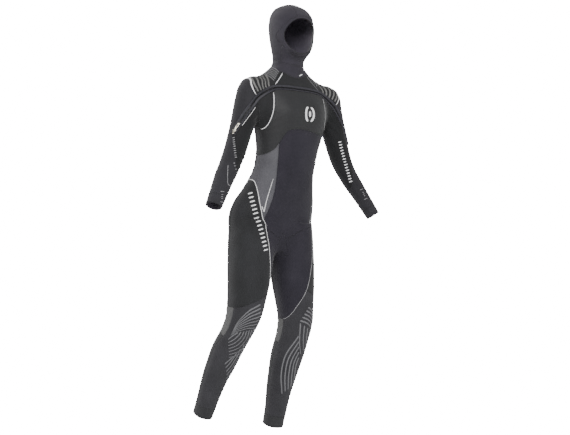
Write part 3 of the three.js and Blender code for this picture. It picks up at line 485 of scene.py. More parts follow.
def beside(points, view="front", finished=False):
    """How far a place lies to the left of a seam line, measured over the surface."""
    line = run_on(np.array(points) if finished else smooth_line(points))
    axes = VIEW_AXES[view]

    def value(places, normals):
        flat = places[:, axes]
        distance, _ = along_line(flat, line)
        nearby = np.abs(distance) < 0.03
        step = 0.0005
        grow = np.zeros((len(places), 2))
        for i in range(2):
            shifted = flat[nearby].copy()
            shifted[:, i] += step
            grow[nearby, i] = (along_line(shifted, line)[0] - distance[nearby]) / step
        full = np.zeros_like(places)
        full[:, axes[0]], full[:, axes[1]] = grow.T
        full -= (full * normals).sum(1)[:, None] * normals
        lean = np.linalg.norm(full, axis=1)
        return distance / np.where(nearby, np.maximum(lean, FLATTEST), 1)
    return value


def ahead(point, direction):
    """How far a place lies ahead of a plane."""
    point, direction = np.array(point), np.array(direction)
    direction = direction / np.linalg.norm(direction)
    return lambda places, normals: (places - point) @ direction


def mirrored(points):
    return [(-x, h) for x, h in points]


# Zip path: over the chest from one upper arm to the other, with a straight end on each arm.
ZIP_CHEST = [(0, 1290), (50, 1290), (100, 1285), (135, 1268)]
ZIP_SLEEVE = [(1241, 6), (1210, -10)]
ZIP_STRAIGHT_TOP, ZIP_STRAIGHT_BOTTOM = (1178, -27), (1098, -68)
ZIP_LIFT = 0.0015
ZIP_HALF_WIDTH = 0.011


def front_place(x, height):
    """The foremost place of the form at a distance aside and a height."""
    z = (height - WAIST) * MM
    y = np.linspace(-0.25, 0.0, 501)
    depth = form_depth(np.full_like(y, x * MM), y, np.full_like(y, z))
    i = np.nonzero(depth < 0)[0][0]
    share = depth[i - 1] / (depth[i - 1] - depth[i])
    return np.array([x * MM, y[i - 1] + share * (y[i] - y[i - 1]), z])


def sleeve_place(side, height, degrees):
    """A place on the sleeve, by its height and the degrees round from the front."""
    z = (height - WAIST) * MM
    x, y, width, front, back = arm.at(np.array(z))
    angle = -math.pi / 2 - math.radians(degrees)
    c, s = (math.copysign(abs(value) ** (2 / LIMB_FULLNESS), value)
            for value in (math.cos(angle), math.sin(angle)))
    y = y + (front if s < 0 else back) * s
    x, z = from_drafted_arm(side, x + width * c, z)
    return np.array([x, y, z])


def unit(v):
    return v / np.linalg.norm(v, axis=-1, keepdims=True)


def limb_axis(side, loft, height, reach=40, swing=False):
    """A limb's centre at a height, and the direction down it."""
    places = []
    for h in (height - reach, height, height + reach):
        z = (h - WAIST) * MM
        x, y = loft.at(np.array(z))[:2]
        if swing:
            x, z = from_drafted_arm(side, x, z)
        places.append(np.array([x, y, z]))
    return places[1], unit(places[0] - places[2])


def resampled(path, step):
    """The same path with points evenly spaced, and how far along each one is."""
    lengths = np.concatenate([[0], np.cumsum(np.linalg.norm(np.diff(path, axis=0), axis=1))])
    run = np.linspace(0, lengths[-1], max(int(round(lengths[-1] / step)), 2) + 1)
    return np.stack([np.interp(run, lengths, path[:, i]) for i in range(3)], 1), run


# The straight ends, as frames: bottom, direction up the zip, outward, and length.
zip_ends = {}
for side in SIDES:
    bottom = sleeve_place(side, *ZIP_STRAIGHT_BOTTOM)
    top = sleeve_place(side, *ZIP_STRAIGHT_TOP)
    middle = (bottom + top) / 2
    centre_x, centre_y = arm.at(np.array(middle[2]))[:2]
    axis_x, axis_z = from_drafted_arm(side, centre_x, middle[2])
    axis = np.array([axis_x, centre_y, axis_z])
    upwards = unit(top - bottom)
    outwards = unit(middle - axis)
    outwards = unit(outwards - (outwards @ upwards) * upwards)
    zip_ends[side] = {"bottom": bottom + outwards * ZIP_LIFT, "up": upwards, "out": outwards,
                      "length": np.linalg.norm(top - bottom)}


def zip_half(side, chest):
    end = zip_ends[side]
    return ([front_place(SIDES[side] * x, h) for x, h in chest]
            + [sleeve_place(side, h, degrees) for h, degrees in ZIP_SLEEVE]
            + [end["bottom"] + end["up"] * end["length"]])


zip_bend = curve_through(zip_half("left", ZIP_CHEST)[::-1] + zip_half("right", ZIP_CHEST[1:]))
zip_bend, _ = resampled(zip_bend, 0.004)
zip_path = np.vstack([zip_ends["left"]["bottom"], zip_bend, zip_ends["right"]["bottom"]])
zip_path, zip_run = resampled(zip_path, 0.004)
zip_along = unit(np.gradient(zip_path, axis=0))
zip_out = onto_form(zip_path)[1]
for side, end in zip_ends.items():
    near_end = np.linalg.norm(zip_path - end["bottom"], axis=1)
    ease = np.clip((near_end - end["length"]) / 0.06, 0, 1)[:, None]
    ease = ease * ease * (3 - 2 * ease)
    zip_out = zip_out * ease + end["out"] * (1 - ease)
for _ in range(12):
    zip_out[1:-1] = unit(2 * zip_out[1:-1] + zip_out[:-2] + zip_out[2:])
zip_out = unit(zip_out - (zip_out * zip_along).sum(1)[:, None] * zip_along)
zip_side = np.cross(zip_out, zip_along)


ZIP_REGION = (0.03, 0.05, 0.38)   # places behind the first y or outside these heights are far off
ZIP_DEPTH = 0.03               # a place this deep under the zip isn't beside it
BLOCK = 4000                   # how many places are looked up at once


def zip_place(places):
    """Each place's distance across the zip and distance past its nearer end."""
    across, past = np.full(len(places), FAR_OFF), np.full(len(places), FAR_OFF)
    behind, low, high = ZIP_REGION
    close = (places[:, 1] < behind) & (places[:, 2] > low) & (places[:, 2] < high)
    some = places[close]
    nearest = np.zeros(len(some), int)
    for start in range(0, len(some), BLOCK):
        block = some[start:start + BLOCK]
        apart = ((block[:, None, :] - zip_path[None, :, :]) ** 2).sum(2)
        nearest[start:start + BLOCK] = apart.argmin(1)
    offset = some - zip_path[nearest]
    along = (offset * zip_along[nearest]).sum(1)
    across[close] = (offset * zip_side[nearest]).sum(1)
    depth = np.abs((offset * zip_out[nearest]).sum(1))
    across[close] += np.sign(across[close]) * np.where(depth > ZIP_DEPTH, 0.05, 0)
    last = len(zip_path) - 1
    past[close] = np.where(nearest == last, along, np.where(nearest == 0, -along, -0.02))
    return across, past


def in_zip_channel(places, normals):
    across, past = zip_place(places)
    return np.maximum(np.abs(across) - ZIP_HALF_WIDTH, past)


divide(["shell"], in_zip_channel, "shell", "channel", grooved=False)

ARMHOLE = [(-184, 1345), (-189, 1318), (-196, 1288), (-189, 1262), (-171, 1238), (-156, 1190),
           (-147, 1150), (-152, 1100), (-185, 900), (-235, 700)]
divide(["shell"], beside(ARMHOLE), "shell", "arm_right")
divide(["shell"], beside(mirrored(ARMHOLE)), "arm_left", "body")

NECK_BASE = np.array([0, -0.010, 0.375])
NECK_SLOPE = unit(np.array([0, -0.33, 1.0]))
NECK_LENGTH = 0.042
neck_top = NECK_BASE + np.array([0, 0, NECK_LENGTH])
NECK_SIDE_RISE, NECK_SIDE = 0.010, 0.045


def above_collar_seam(places, normals):
    """The collar's lower seam dips at the throat and the nape and rises at the sides."""
    side = np.clip(np.abs(places[:, 0]) / NECK_SIDE, 0, 1)
    return (places - NECK_BASE) @ NECK_SLOPE - NECK_SIDE_RISE * side ** 2


divide(["body"], above_collar_seam, "neck_collar", "body")
divide(["neck_collar"], ahead(neck_top, NECK_SLOPE), "hood", "neck_collar")

FACE_CENTRE = (1489 - WAIST) * MM
FACE_HALF_WIDTH, FACE_HALF_HEIGHT, FACE_BACK = 0.068, 0.067, -0.025
FACE_SEAL_WIDTH = 0.009


def from_face(places, normals):
    """How far a place lies outside the rim of the face opening."""
    x, z = places[:, 0], places[:, 2] - FACE_CENTRE
    ring = np.sqrt((x / FACE_HALF_WIDTH) ** 2 + (z / FACE_HALF_HEIGHT) ** 2)
    return np.where(places[:, 1] < FACE_BACK, (ring - 1) * FACE_HALF_WIDTH, FAR_OFF)


divide(["hood"], from_face, "hood", "face_opening", grooved=False)
divide(["hood"], lambda p, n: from_face(p, n) - FACE_SEAL_WIDTH, "hood", "face_seal")
CHIN_SEAM = [(-28, 1340), (-40, 1400), (-66, 1452), (-110, 1470)]
HOOD_STRIP = 28
divide(["hood"], beside(CHIN_SEAM, "side"), "hood_chin_panel", "hood")
divide(["hood"], beside([(-HOOD_STRIP, 1700), (-HOOD_STRIP, 1500), (-HOOD_STRIP, 1300)]),
       "hood", "hood_side_right")
divide(["hood"], beside([(HOOD_STRIP, 1700), (HOOD_STRIP, 1500), (HOOD_STRIP, 1300)]),
       "hood_side_left", "hood_centre_panel")

on_trunk = zip_path[np.abs(zip_path[:, 0]) < 0.165][::-1]
divide(["body"], beside(on_trunk[:, [0, 2]], finished=True), "above_zip", "body")
YOKE_SEAM = [(-46, 1372), (-58, 1341), (-104, 1289), (-125, 1265)]
divide(["above_zip"], beside(YOKE_SEAM), "above_zip", "shoulder_panel_right")
divide(["above_zip"], beside(mirrored(YOKE_SEAM)), "shoulder_panel_left", "yoke")
divide(["yoke"], beside([(-14, 1450), (-14, 1300), (-14, 1200)], "side"), "yoke_back", "yoke_front")

GUSSET = [(-36, 664), (36, 664), (0, 756)]


def from_gusset(places, normals):
    """How far a place lies outside the three-cornered gusset."""
    flat = places[:, [0, 2]]
    corners = np.array([(x * MM, (h - WAIST) * MM) for x, h in GUSSET])
    edges = []
    for a, b in zip(corners, np.roll(corners, -1, axis=0)):
        step = unit(b - a)
        edges.append(step[1] * (flat[:, 0] - a[0]) - step[0] * (flat[:, 1] - a[1]))
    return np.max(edges, axis=0)


divide(["body"], from_gusset, "body", "crotch_gusset")
SIDE_SEAM = [(-30, 1300), (-38, 1165), (-38, 1100), (-30, 1040), (-14, 980), (12, 910),
             (34, 850), (46, 780), (40, 700), (30, 640), (18, 560), (6, 480), (0, 400),
             (-10, 330)]
divide(["body"], beside(SIDE_SEAM, "side"), "back", "front")
UNDERARM_SEAM = [(-106, 1310), (-111, 1270), (-114, 1229), (-119, 1173), (-130, 1133),
                 (-150, 1120)]
divide(["front"], beside(UNDERARM_SEAM), "front", "underarm_panel_right")
divide(["front"], beside(mirrored(UNDERARM_SEAM)), "underarm_panel_left", "front")
BUST_SEAM = [(-160, 1010), (-122, 1032), (-98, 1052), (-82, 1080), (-66, 1115), (-50, 1131),
             (0, 1138), (50, 1131), (104, 1123), (150, 1112)]
divide(["front"], beside(BUST_SEAM), "chest_panel", "front")
RIGHT_PIPED_SEAM = [(-86, 1120), (-82, 1077), (-73, 982), (-67, 900), (-70, 840), (-82, 795),
                    (-76, 745), (-62, 690), (-48, 600), (-38, 530), (-36, 440)]
LEFT_PIPED_SEAM = [(100, 1160), (104, 1123), (108, 1077), (110, 982), (124, 880), (136, 790),
                   (140, 691), (128, 610), (109, 539), (71, 475), (48, 426), (30, 380)]
divide(["front"], beside(RIGHT_PIPED_SEAM), "front", "front_right")
divide(["front"], beside(LEFT_PIPED_SEAM), "front_left", "front")
RIGHT_HIP_SEAM = [(-200, 990), (-150, 972), (-134, 945), (-126, 908), (-114, 867), (-98, 824),
                  (-78, 770), (-50, 730)]
LEFT_HIP_SEAM = [(200, 1010), (140, 985), (128, 965), (140, 905), (146, 850), (134, 790),
                 (110, 740)]
divide(["front_right"], beside(RIGHT_HIP_SEAM), "side_panel_right", "thigh_outer_right")
divide(["front_left"], beside(LEFT_HIP_SEAM), "thigh_outer_left", "side_panel_left")
BELLY_HEM = [(-170, 800), (-80, 762), (0, 726), (80, 762), (170, 800)]
MIDDLE = [(0, 900), (0, 700), (0, 500)]
divide(["front"], beside(BELLY_HEM), "belly_panel", "front")
divide(["front"], beside(MIDDLE), "thigh_inner_left", "thigh_inner_right")
LUMBAR_SEAM = [(-200, 1120), (-70, 1088), (0, 1080), (70, 1088), (200, 1120)]
SEAT_SEAM = [(-200, 985), (-80, 925), (0, 900), (80, 925), (200, 985)]
GLUTE_SEAM = [(-200, 770), (-90, 738), (0, 742), (90, 738), (200, 770)]
divide(["back"], beside(LUMBAR_SEAM), "upper_back_panel", "back")
divide(["back"], beside(SEAT_SEAM), "lower_back_panel", "back")
divide(["back"], beside(GLUTE_SEAM), "seat_panel", "back")
divide(["back"], beside(MIDDLE), "hamstring_panel_left", "hamstring_panel_right")

# Below the thighs: the knee and shin in one panel, a stretch strip behind the knee, and the
# calf. Each leg's knee seam climbs to the front.
RIGHT_KNEE_SEAM = [(-200, 452), (-165, 464), (-110, 489), (-62, 514), (-30, 530)]
LEFT_KNEE_SEAM = [(200, 508), (150, 520), (105, 540), (60, 566)]
LEFT_BACK_SEAM = [(200, 508), (110, 468), (20, 415)]
INNER_LEFT_SEAM = [(130, 428), (60, 424), (20, 418)]
divide(["thigh_outer_right", "thigh_inner_right", "hamstring_panel_right"],
       beside(RIGHT_KNEE_SEAM), None, "lower_right")
divide(["thigh_outer_left"], beside(LEFT_KNEE_SEAM), "lower_left", None)
divide(["hamstring_panel_left"], beside(LEFT_BACK_SEAM), "lower_left", None)
divide(["thigh_inner_left"], beside(INNER_LEFT_SEAM), "lower_left", None)

KNEE_HEIGHT, KNEE_LENGTH = 418, 0.122
ANKLE_HEIGHT = {"right": 27, "left": 0}
ANKLE_SEAL_LENGTH = 0.045
STRIP_END = {"right": 0.079, "left": 0.084}
CALF_SEAM_HEIGHTS = (560, 500, 420, 360, 300, 220, 140, 60, -40)
STRIP_FRONT, CALF_FRONT = {"right": -16, "left": -7}, 8
knees = {}
for side in SIDES:
    loft = legs[side]
    lower = f"lower_{side}"
    knee_centre, knee_down = limb_axis(side, loft, KNEE_HEIGHT)
    knees[side] = (knee_centre, knee_down)
    _, hem_down = limb_axis(side, loft, ANKLE_HEIGHT[side] + 20)
    z = (ANKLE_HEIGHT[side] - WAIST) * MM
    hem_centre = np.array([*loft.at(np.array(z))[:2], z])
    divide([lower], ahead(hem_centre, hem_down), "cut_off", None, grooved=False)
    divide([lower], ahead(hem_centre - hem_down * ANKLE_SEAL_LENGTH, hem_down),
           f"ankle_seal_{side}", None)
    seam = [(loft.centre(h)[1] / MM + (STRIP_FRONT[side] if h > 330 else CALF_FRONT), h)
            for h in CALF_SEAM_HEIGHTS]
    divide([lower], beside(seam, "side"), f"calf_{side}", f"knee_panel_{side}")
    divide([f"calf_{side}"], ahead(knee_centre + knee_down * STRIP_END[side], knee_down),
           f"calf_panel_{side}", f"knee_back_{side}")

# The sleeves: one panel outside the zip that turns under below it, and one inside it.
SLEEVE_TOP = (120, 1278)
SLEEVE_SEAM = [(256, 1060), (255, 1011), (251, 960), (245, 925), (215, 890)]
ELBOW_HEIGHT, ELBOW_LENGTH, WRIST_HEIGHT, WRIST_SEAL_LENGTH = 1026, 0.110, 829, 0.038
elbows = {}
for side, way in SIDES.items():
    zip_part = zip_path[way * zip_path[:, 0] > 0.150][:, [0, 2]]
    if side == "left":
        zip_part = zip_part[::-1]
    lower_line = [from_drafted_arm(side, x, z) for x, z in smooth_line(SLEEVE_SEAM)]
    top_end = from_drafted_arm(side, SLEEVE_TOP[0] * MM, (SLEEVE_TOP[1] - WAIST) * MM)
    line = np.vstack([top_end, zip_part[::4], lower_line])
    names = {"right": (f"sleeve_inner_{side}", f"sleeve_outer_{side}"),
             "left": (f"sleeve_outer_{side}", f"sleeve_inner_{side}")}[side]
    elbows[side] = limb_axis(side, arm, ELBOW_HEIGHT, swing=True)
    wrist_centre, wrist_down = limb_axis(side, arm, WRIST_HEIGHT, swing=True)
    arm_name = f"arm_{side}"
    divide([arm_name], ahead(wrist_centre, wrist_down), "cut_off", None, grooved=False)
    divide([arm_name], ahead(wrist_centre - wrist_down * WRIST_SEAL_LENGTH, wrist_down),
           f"wrist_seal_{side}", None)
    divide([arm_name], beside(line, finished=True), *names)
skin["points"], skin["normals"] = onto_form(skin["points"], 1)

# ---- Making a panel -----------------------------------------------------------------------
# Each panel is a closed sheet of foam: the knitted face outside, the lining inside, and the
# cut foam edge between them. Its outer edge is pulled down a little where it is stitched.
FOAM = 0.005
GROOVE_DEPTH = 0.0010
EDGE_GAP = 0.00015
SHARP_EDGE = math.radians(50)


def near(distance, width):
    """1 at a fold's middle, fading to nothing about twice the width away."""
    return np.exp(-(distance / width) ** 2)


def share(amount):
    return np.clip(amount, 0, 1)


def soft_folds(points, normals):
    """How far the worn foam stands out: slight waves, and shallow folds where limbs bend.
    Each fold is its height, how much of it a place gets, and the wave that it follows."""
    x, y, z = points.T
    out_x, out_y = normals[:, 0], normals[:, 1]
    rise = 0.0004 * np.sin(x * 61 + 1.3 * np.sin(z * 23)) * np.sin(z * 47 + 1.1 * np.sin(y * 39))
    rise += 0.0003 * np.sin(z * 31 + x * 19 + 2.0 * np.sin(y * 27))
    waist = near(z - 0.03, 0.05) * share(np.abs(out_x) - 0.1) * (np.abs(x) < 0.14)
    nape = near(z - 0.41, 0.03)
    folds = [(0.0009, waist, z * 210 + 20 * y), (0.0008, nape, z * 280 + 12 * y)]
    for side, way in SIDES.items():
        own_side = way * x > 0
        centre, down = elbows[side]
        run = (points - centre) @ down
        elbow = near(run, 0.038) * (way * x > 0.14)
        wrist = near(run - 0.17, 0.03) * (way * x > 0.2)
        folds += [(0.0017, elbow * share(-out_y * 0.9 - way * out_x * 0.5), run * 330 + 18 * y),
                  (0.0007, elbow * share(out_y), run * 250),
                  (0.0005, wrist, run * 380 + 25 * x)]
        centre, down = knees[side]
        run = (points - centre) @ down
        leg = own_side & (z < -0.3)
        knee_back = near(run, 0.045) * leg * share(out_y * 1.2)
        knee_front = near(run - 0.05, 0.03) * leg * share(-out_y)
        ankle = near(z + 0.86, 0.035) * leg * share(-out_y + 0.3)
        armpit = near(np.hypot((x - way * 0.150) / 0.045, (z - 0.175) / 0.05), 1)
        groin = near(np.hypot((x - way * 0.060) / 0.05, (z + 0.225) / 0.035), 1)
        seat = near(z + 0.262, 0.022) * own_side * share(out_y)
        folds += [(0.0016, knee_back, run * 260 + 20 * x),
                  (0.0006, knee_front, run * 300 + 14 * x),
                  (0.0009, ankle, z * 300 + 30 * x),
                  (0.0015, armpit * share(-out_y + 0.2), (way * x * 0.8 + z) * 230),
                  (0.0010, groin * share(-out_y), (way * x * -0.7 + z) * 240),
                  (0.0012, seat, z * 260 + 16 * x)]
    for height, part, wave in folds:
        rise += height * part * np.cos(wave)
    return rise


rise = soft_folds(skin["points"], skin["normals"])
worn_points = skin["points"] + skin["normals"] * rise[:, None]
corner = worn_points[skin["triangles"]]
face_normals = np.cross(corner[:, 1] - corner[:, 0], corner[:, 2] - corner[:, 0])
worn_normals = np.zeros_like(worn_points)
for i in range(3):
    np.add.at(worn_normals, skin["triangles"][:, i], face_normals)
lengths = np.linalg.norm(worn_normals, axis=1)[:, None]
worn_normals = np.where(lengths > 1e-12, worn_normals / np.maximum(lengths, 1e-12),
                        skin["normals"])


def piece_triangles(*names):
    return skin["triangles"][np.isin(skin["piece"], [piece_names.index(n) for n in names])]


def open_edges(triangles):
    """The edges that only one of the triangles has, each in that triangle's order."""
    edges = np.concatenate([triangles[:, [0, 1]], triangles[:, [1, 2]], triangles[:, [2, 0]]])
    low, high = edges.min(1).astype(np.int64), edges.max(1).astype(np.int64)
    keys = low * (triangles.max() + 1) + high
    _, place, times = np.unique(keys, return_index=True, return_counts=True)
    return edges[place[times == 1]]


def shade_smooth(mesh, sharp=SHARP_EDGE):
    """Smooth shading that breaks at the mesh's sharp edges."""
    mesh.polygons.foreach_set("use_smooth", np.ones(len(mesh.polygons), bool))
    mesh.set_sharp_from_angle(angle=sharp)


def make_object(name, points, faces, materials, face_materials):
    """A mesh object with a material for each face."""
    mesh = bpy.data.meshes.new(name)
    mesh.from_pydata(points.tolist(), [], faces.tolist())
    for material in materials:
        mesh.materials.append(material)
    mesh.polygons.foreach_set("material_index", np.asarray(face_materials, np.int32))
    shade_smooth(mesh)
    return linked(name, mesh)


def sheet_shell(triangles, points, normals, thickness, gap, groove):
    """Points and faces of a closed sheet, and each face's part: 0 outside, 1 inside, 2 edge."""
    used, local = np.unique(triangles, return_inverse=True)
    local = local.reshape(-1, 3)
    outer, out = points[used].copy(), normals[used]
    rim = open_edges(local)
    centroid = outer[local].mean(1)
    pull, times = np.zeros_like(outer), np.zeros(len(outer))
    for i in range(3):
        np.add.at(pull, local[:, i], centroid)
        np.add.at(times, local[:, i], 1)
    towards = pull / times[:, None] - outer
    towards -= (towards * out).sum(1)[:, None] * out
    towards /= np.maximum(np.linalg.norm(towards, axis=1)[:, None], 1e-9)
    at_rim = np.unique(rim)
    outer[at_rim] += towards[at_rim] * gap - out[at_rim] * groove
    inner = points[used] - out * thickness
    inner[at_rim] += towards[at_rim] * gap
    count = len(used)
    walls = np.concatenate([
        np.stack([rim[:, 1], rim[:, 0], rim[:, 0] + count], 1),
        np.stack([rim[:, 1], rim[:, 0] + count, rim[:, 1] + count], 1)])
    faces = np.concatenate([local, local[:, ::-1] + count, walls])
    part = np.concatenate([np.zeros(len(local)), np.ones(len(local)), np.full(len(walls), 2)])
    return np.vstack([outer, inner]), faces, part.astype(int)


BEND_ENDS = {}
for side in SIDES:
    for word, (centre, down), length, below in (
            ("elbow", elbows[side], ELBOW_LENGTH, f"forearm_{side}"),
            ("knee", knees[side], KNEE_LENGTH, f"lower_leg_{side}")):
        BEND_ENDS[f"{word}_{side}"] = (
            "suit", below, centre - down * length / 2, centre + down * length / 2)
neck_end = NECK_BASE + NECK_SLOPE * (NECK_LENGTH * NECK_SLOPE[2])
BEND_ENDS["neck"] = ("suit", "hood", NECK_BASE, neck_end)


def carry(made, body):
    """The piece rides on a body; for the elbow, knee or neck that is named, its place is only baked
    into its mesh.
    """
    if body in BEND_ENDS:
        above, below, start, end = BEND_ENDS[body]
        tuple(start)
        tuple(end)
        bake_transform(made)
    else:
        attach(made, body)


def panel(name, outside, body, nodes, pieces=None):
    """One panel of the suit, cut from the skin."""
    triangles = piece_triangles(*(pieces or [name]))
    points, faces, part = sheet_shell(
        triangles, worn_points, worn_normals, FOAM, EDGE_GAP, GROOVE_DEPTH)
    made = make_object(name, points, faces, [outside, lining, foam_edge], part)
    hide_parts(*nodes)
    carry(made, body)
    return made


# ---- Cloth and rubber ---------------------------------------------------------------------
def knit(name, base, light, dark, rib=0.0016, shine=0.18, bump=0.35):
    """Knitted nylon jersey bonded to foam: matt, a little uneven in colour, with a soft
    glow at its edges. Real loops are about 0.5 mm wide; they are drawn three times that."""
    material, tree = new_material(name)
    where = add_node(tree, "ShaderNodeTexCoord").outputs["Object"]
    loops = add_node(tree, "ShaderNodeTexVoronoi", {
        "Vector": where, "Scale": 1 / rib, "Randomness": 0.55})
    fibre = add_node(tree, "ShaderNodeTexNoise", {
        "Vector": where, "Scale": 700.0, "Detail": 3.0, "Roughness": 0.7})
    drift = add_node(tree, "ShaderNodeTexNoise", {
        "Vector": where, "Scale": 11.0, "Detail": 4.0, "Roughness": 0.55})
    shade = add_node(tree, "ShaderNodeMapRange", {
        "Value": drift.outputs["Fac"], "From Min": 0.3, "From Max": 0.7})
    colour = add_node(tree, "ShaderNodeValToRGB", {"Fac": shade.outputs["Result"]})
    tones = colour.color_ramp.elements
    tones[0].color = paint(dark)
    tones[1].color = paint(light)
    tones.new(0.5).color = paint(base)
    heather = add_node(tree, "ShaderNodeMapRange", {
        "Value": fibre.outputs["Fac"], "From Min": 0.25, "From Max": 0.75,
        "To Min": 0.86, "To Max": 1.14})
    speckled = add_node(tree, "ShaderNodeVectorMath", {
        0: colour.outputs["Color"], "Scale": heather.outputs["Result"]}, operation="SCALE")
    rough = add_node(tree, "ShaderNodeMapRange", {
        "Value": fibre.outputs["Fac"], "To Min": 0.74, "To Max": 0.92})
    relief = add_node(tree, "ShaderNodeMath", {
        0: loops.outputs["Distance"], 1: fibre.outputs["Fac"]}, operation="ADD")
    raised = add_node(tree, "ShaderNodeBump", {
        "Height": relief.outputs["Value"], "Strength": bump, "Distance": 0.0004})
    finish_material(tree, {
        "Base Color": speckled.outputs["Vector"], "Roughness": rough.outputs["Result"],
        "Normal": raised.outputs["Normal"], "Specular IOR Level": 0.3,
        "Sheen Weight": shine, "Sheen Roughness": 0.45})
    return material


def smooth_rubber(name, base, light, grain=0.0011, rough=(0.42, 0.6)):
    """Bare neoprene with its moulded skin: dark, faintly glossy, with a fine pebble grain."""
    material, tree = new_material(name)
    where = add_node(tree, "ShaderNodeTexCoord").outputs["Object"]
    pebbles = add_node(tree, "ShaderNodeTexVoronoi", {"Vector": where, "Scale": 1 / grain})
    cloud = add_node(tree, "ShaderNodeTexNoise", {"Vector": where, "Scale": 24.0, "Detail": 5.0})
    colour = two_tones(tree, cloud.outputs["Fac"], base, light)
    gloss = add_node(tree, "ShaderNodeMapRange", {
        "Value": cloud.outputs["Fac"], "To Min": rough[0], "To Max": rough[1]})
    raised = add_node(tree, "ShaderNodeBump", {
        "Height": pebbles.outputs["Distance"], "Strength": 0.25, "Distance": 0.0002})
    finish_material(tree, {
        "Base Color": colour, "Roughness": gloss.outputs["Result"],
        "Normal": raised.outputs["Normal"], "Specular IOR Level": 0.45})
    return material


lining = knit("plush_plum_lining", "#4f4a55", "#59535f", "#433f49", rib=0.0022, shine=0.3)
foam_edge = smooth_rubber("cut_foam_edge", "#1d1d1f", "#28282b", grain=0.0007, rough=(0.7, 0.85))

# ---- Hood and collar ----------------------------------------------------------------------
# Soft plum-grey neoprene in a centre strip, two sides and a chin panel, with a thin skin seal
# round the face. The collar joins it to the yoke.
hood_knit = knit("plum_grey_jersey", "#322f37", "#38353d", "#2c2931", shine=0.22)
panel("hood_centre_panel", hood_knit, "hood", ["hood_centre_panel"])
panel("hood_side_right", hood_knit, "hood", ["hood_side_right"])
panel("hood_side_left", hood_knit, "hood", ["hood_side_left"])
panel("hood_chin_panel", hood_knit, "hood", ["hood_chin_panel"])
panel("face_seal", hood_knit, "hood", ["face_seal"])
panel("neck_collar", hood_knit, "neck", ["neck_collar"])

# ---- Yoke and shoulders -------------------------------------------------------------------
# Black nylon jersey over the shoulders, above the zip, with printed stripes for grip.
black_knit = knit("black_nylon_jersey", "#222224", "#272729", "#1d1d1f")
panel("yoke_front", black_knit, "neck", ["yoke_front"])
panel("yoke_back", black_knit, "neck", ["yoke_back"])
for side in SIDES:
    panel(f"shoulder_panel_{side}", black_knit, "neck", [f"shoulder_panel_{side}"])

# ---- Chest --------------------------------------------------------------------------------
# Mesh-skin neoprene: bare rubber embossed with a fine grid, which keeps the wind off.


def mesh_skin(name, base, light, pitch=0.0021):
    """Embossed mesh skin: rubber pressed with a grid of small pits, its colour darkened in the pits
    as painted shade and lightened on the ridges as painted highlight.
    Real pits are about 1 mm apart; they are drawn twice that."""
    material, tree = new_material(name)
    where = add_node(tree, "ShaderNodeTexCoord").outputs["Object"]
    pits = add_node(tree, "ShaderNodeTexVoronoi", {
        "Vector": where, "Scale": 1 / pitch, "Randomness": 0.12})
    cloud = add_node(tree, "ShaderNodeTexNoise", {"Vector": where, "Scale": 9.0, "Detail": 4.0})
    depth = add_node(tree, "ShaderNodeMapRange", {
        "Value": pits.outputs["Distance"], "From Min": 0.1, "From Max": 0.55})
    colour = two_tones(tree, cloud.outputs["Fac"], base, light)
    # Painted shade and highlight: the colour is darker in the pits and lighter on the ridges.
    pit_shade_gain = add_node(tree, "ShaderNodeMapRange", {
        "Value": depth.outputs["Result"], "To Min": 0.8, "To Max": 1.15})
    pit_shaded_colour = add_node(tree, "ShaderNodeVectorMath", {
        0: colour, "Scale": pit_shade_gain.outputs["Result"]}, operation="SCALE")
    raised = add_node(tree, "ShaderNodeBump", {
        "Height": depth.outputs["Result"], "Strength": 0.4, "Distance": 0.0004})
    finish_material(tree, {
        "Base Color": pit_shaded_colour.outputs["Vector"], "Roughness": 0.62,
        "Normal": raised.outputs["Normal"], "Specular IOR Level": 0.4,
        "Sheen Weight": 0.12})
    return material


chest_skin = mesh_skin("embossed_mesh_skin", "#1f1f21", "#252527")
panel("chest_panel", chest_skin, "suit", ["chest_panel"])
for side in SIDES:
    panel(f"underarm_panel_{side}", black_knit, "suit",
          [f"underarm_panel_{side}"])

# ---- Belly, waist and back ----------------------------------------------------------------
# Plum jersey down the front and over the lower back, a lighter grey wedge at each hip.
plum_knit = knit("plum_nylon_jersey", "#29262f", "#2e2b34", "#24212a", shine=0.18)
grey_knit = knit("mid_grey_nylon_jersey", "#59585d", "#605f64", "#515055", shine=0.1)
panel("belly_panel", plum_knit, "suit", ["belly_panel"])
for side in SIDES:
    panel(f"side_panel_{side}", grey_knit, "suit", [f"side_panel_{side}"])
panel("upper_back_panel", black_knit, "suit", ["upper_back_panel"])
panel("lower_back_panel", plum_knit, "suit", ["lower_back_panel"])
panel("seat_panel", black_knit, "suit", ["seat_panel"])
panel("crotch_gusset", plum_knit, "suit", ["crotch_gusset"])

# ---- Legs ---------------------------------------------------------------------------------
# Charcoal outer thighs, softer inner thighs, and a tough knee panel that runs down the shin.
# A grey stretch strip lies behind each knee.
charcoal_knit = knit("charcoal_nylon_jersey", "#29292b", "#2e2e31", "#242426")
knee_knit = knit("abrasion_jersey", "#353438", "#3b3a3e", "#2f2e32", rib=0.0019, bump=0.5)
calf_knit = knit("dark_grey_jersey", "#323234", "#38383a", "#2c2c2e")
strip_knit = knit("light_grey_stretch_jersey", "#5c5c5c", "#646464", "#545454",
                  rib=0.0020, bump=0.6)
for side in SIDES:
    knee = f"knee_{side}"
    panel(f"thigh_outer_{side}", charcoal_knit, knee, [f"thigh_outer_{side}"])
    panel(f"thigh_inner_{side}", plum_knit, knee, [f"thigh_inner_{side}"])
    panel(f"hamstring_panel_{side}", charcoal_knit, knee,
          [f"hamstring_panel_{side}"])
    panel(f"knee_panel_{side}", knee_knit, knee,
          [f"knee_panel_{side}", f"shin_panel_{side}"])
    panel(f"knee_back_{side}", strip_knit, knee, [f"knee_back_{side}"])
    panel(f"calf_panel_{side}", calf_knit, knee, [f"calf_panel_{side}"])
    panel(f"ankle_seal_{side}", calf_knit, f"lower_leg_{side}",
          [f"ankle_seal_{side}"])
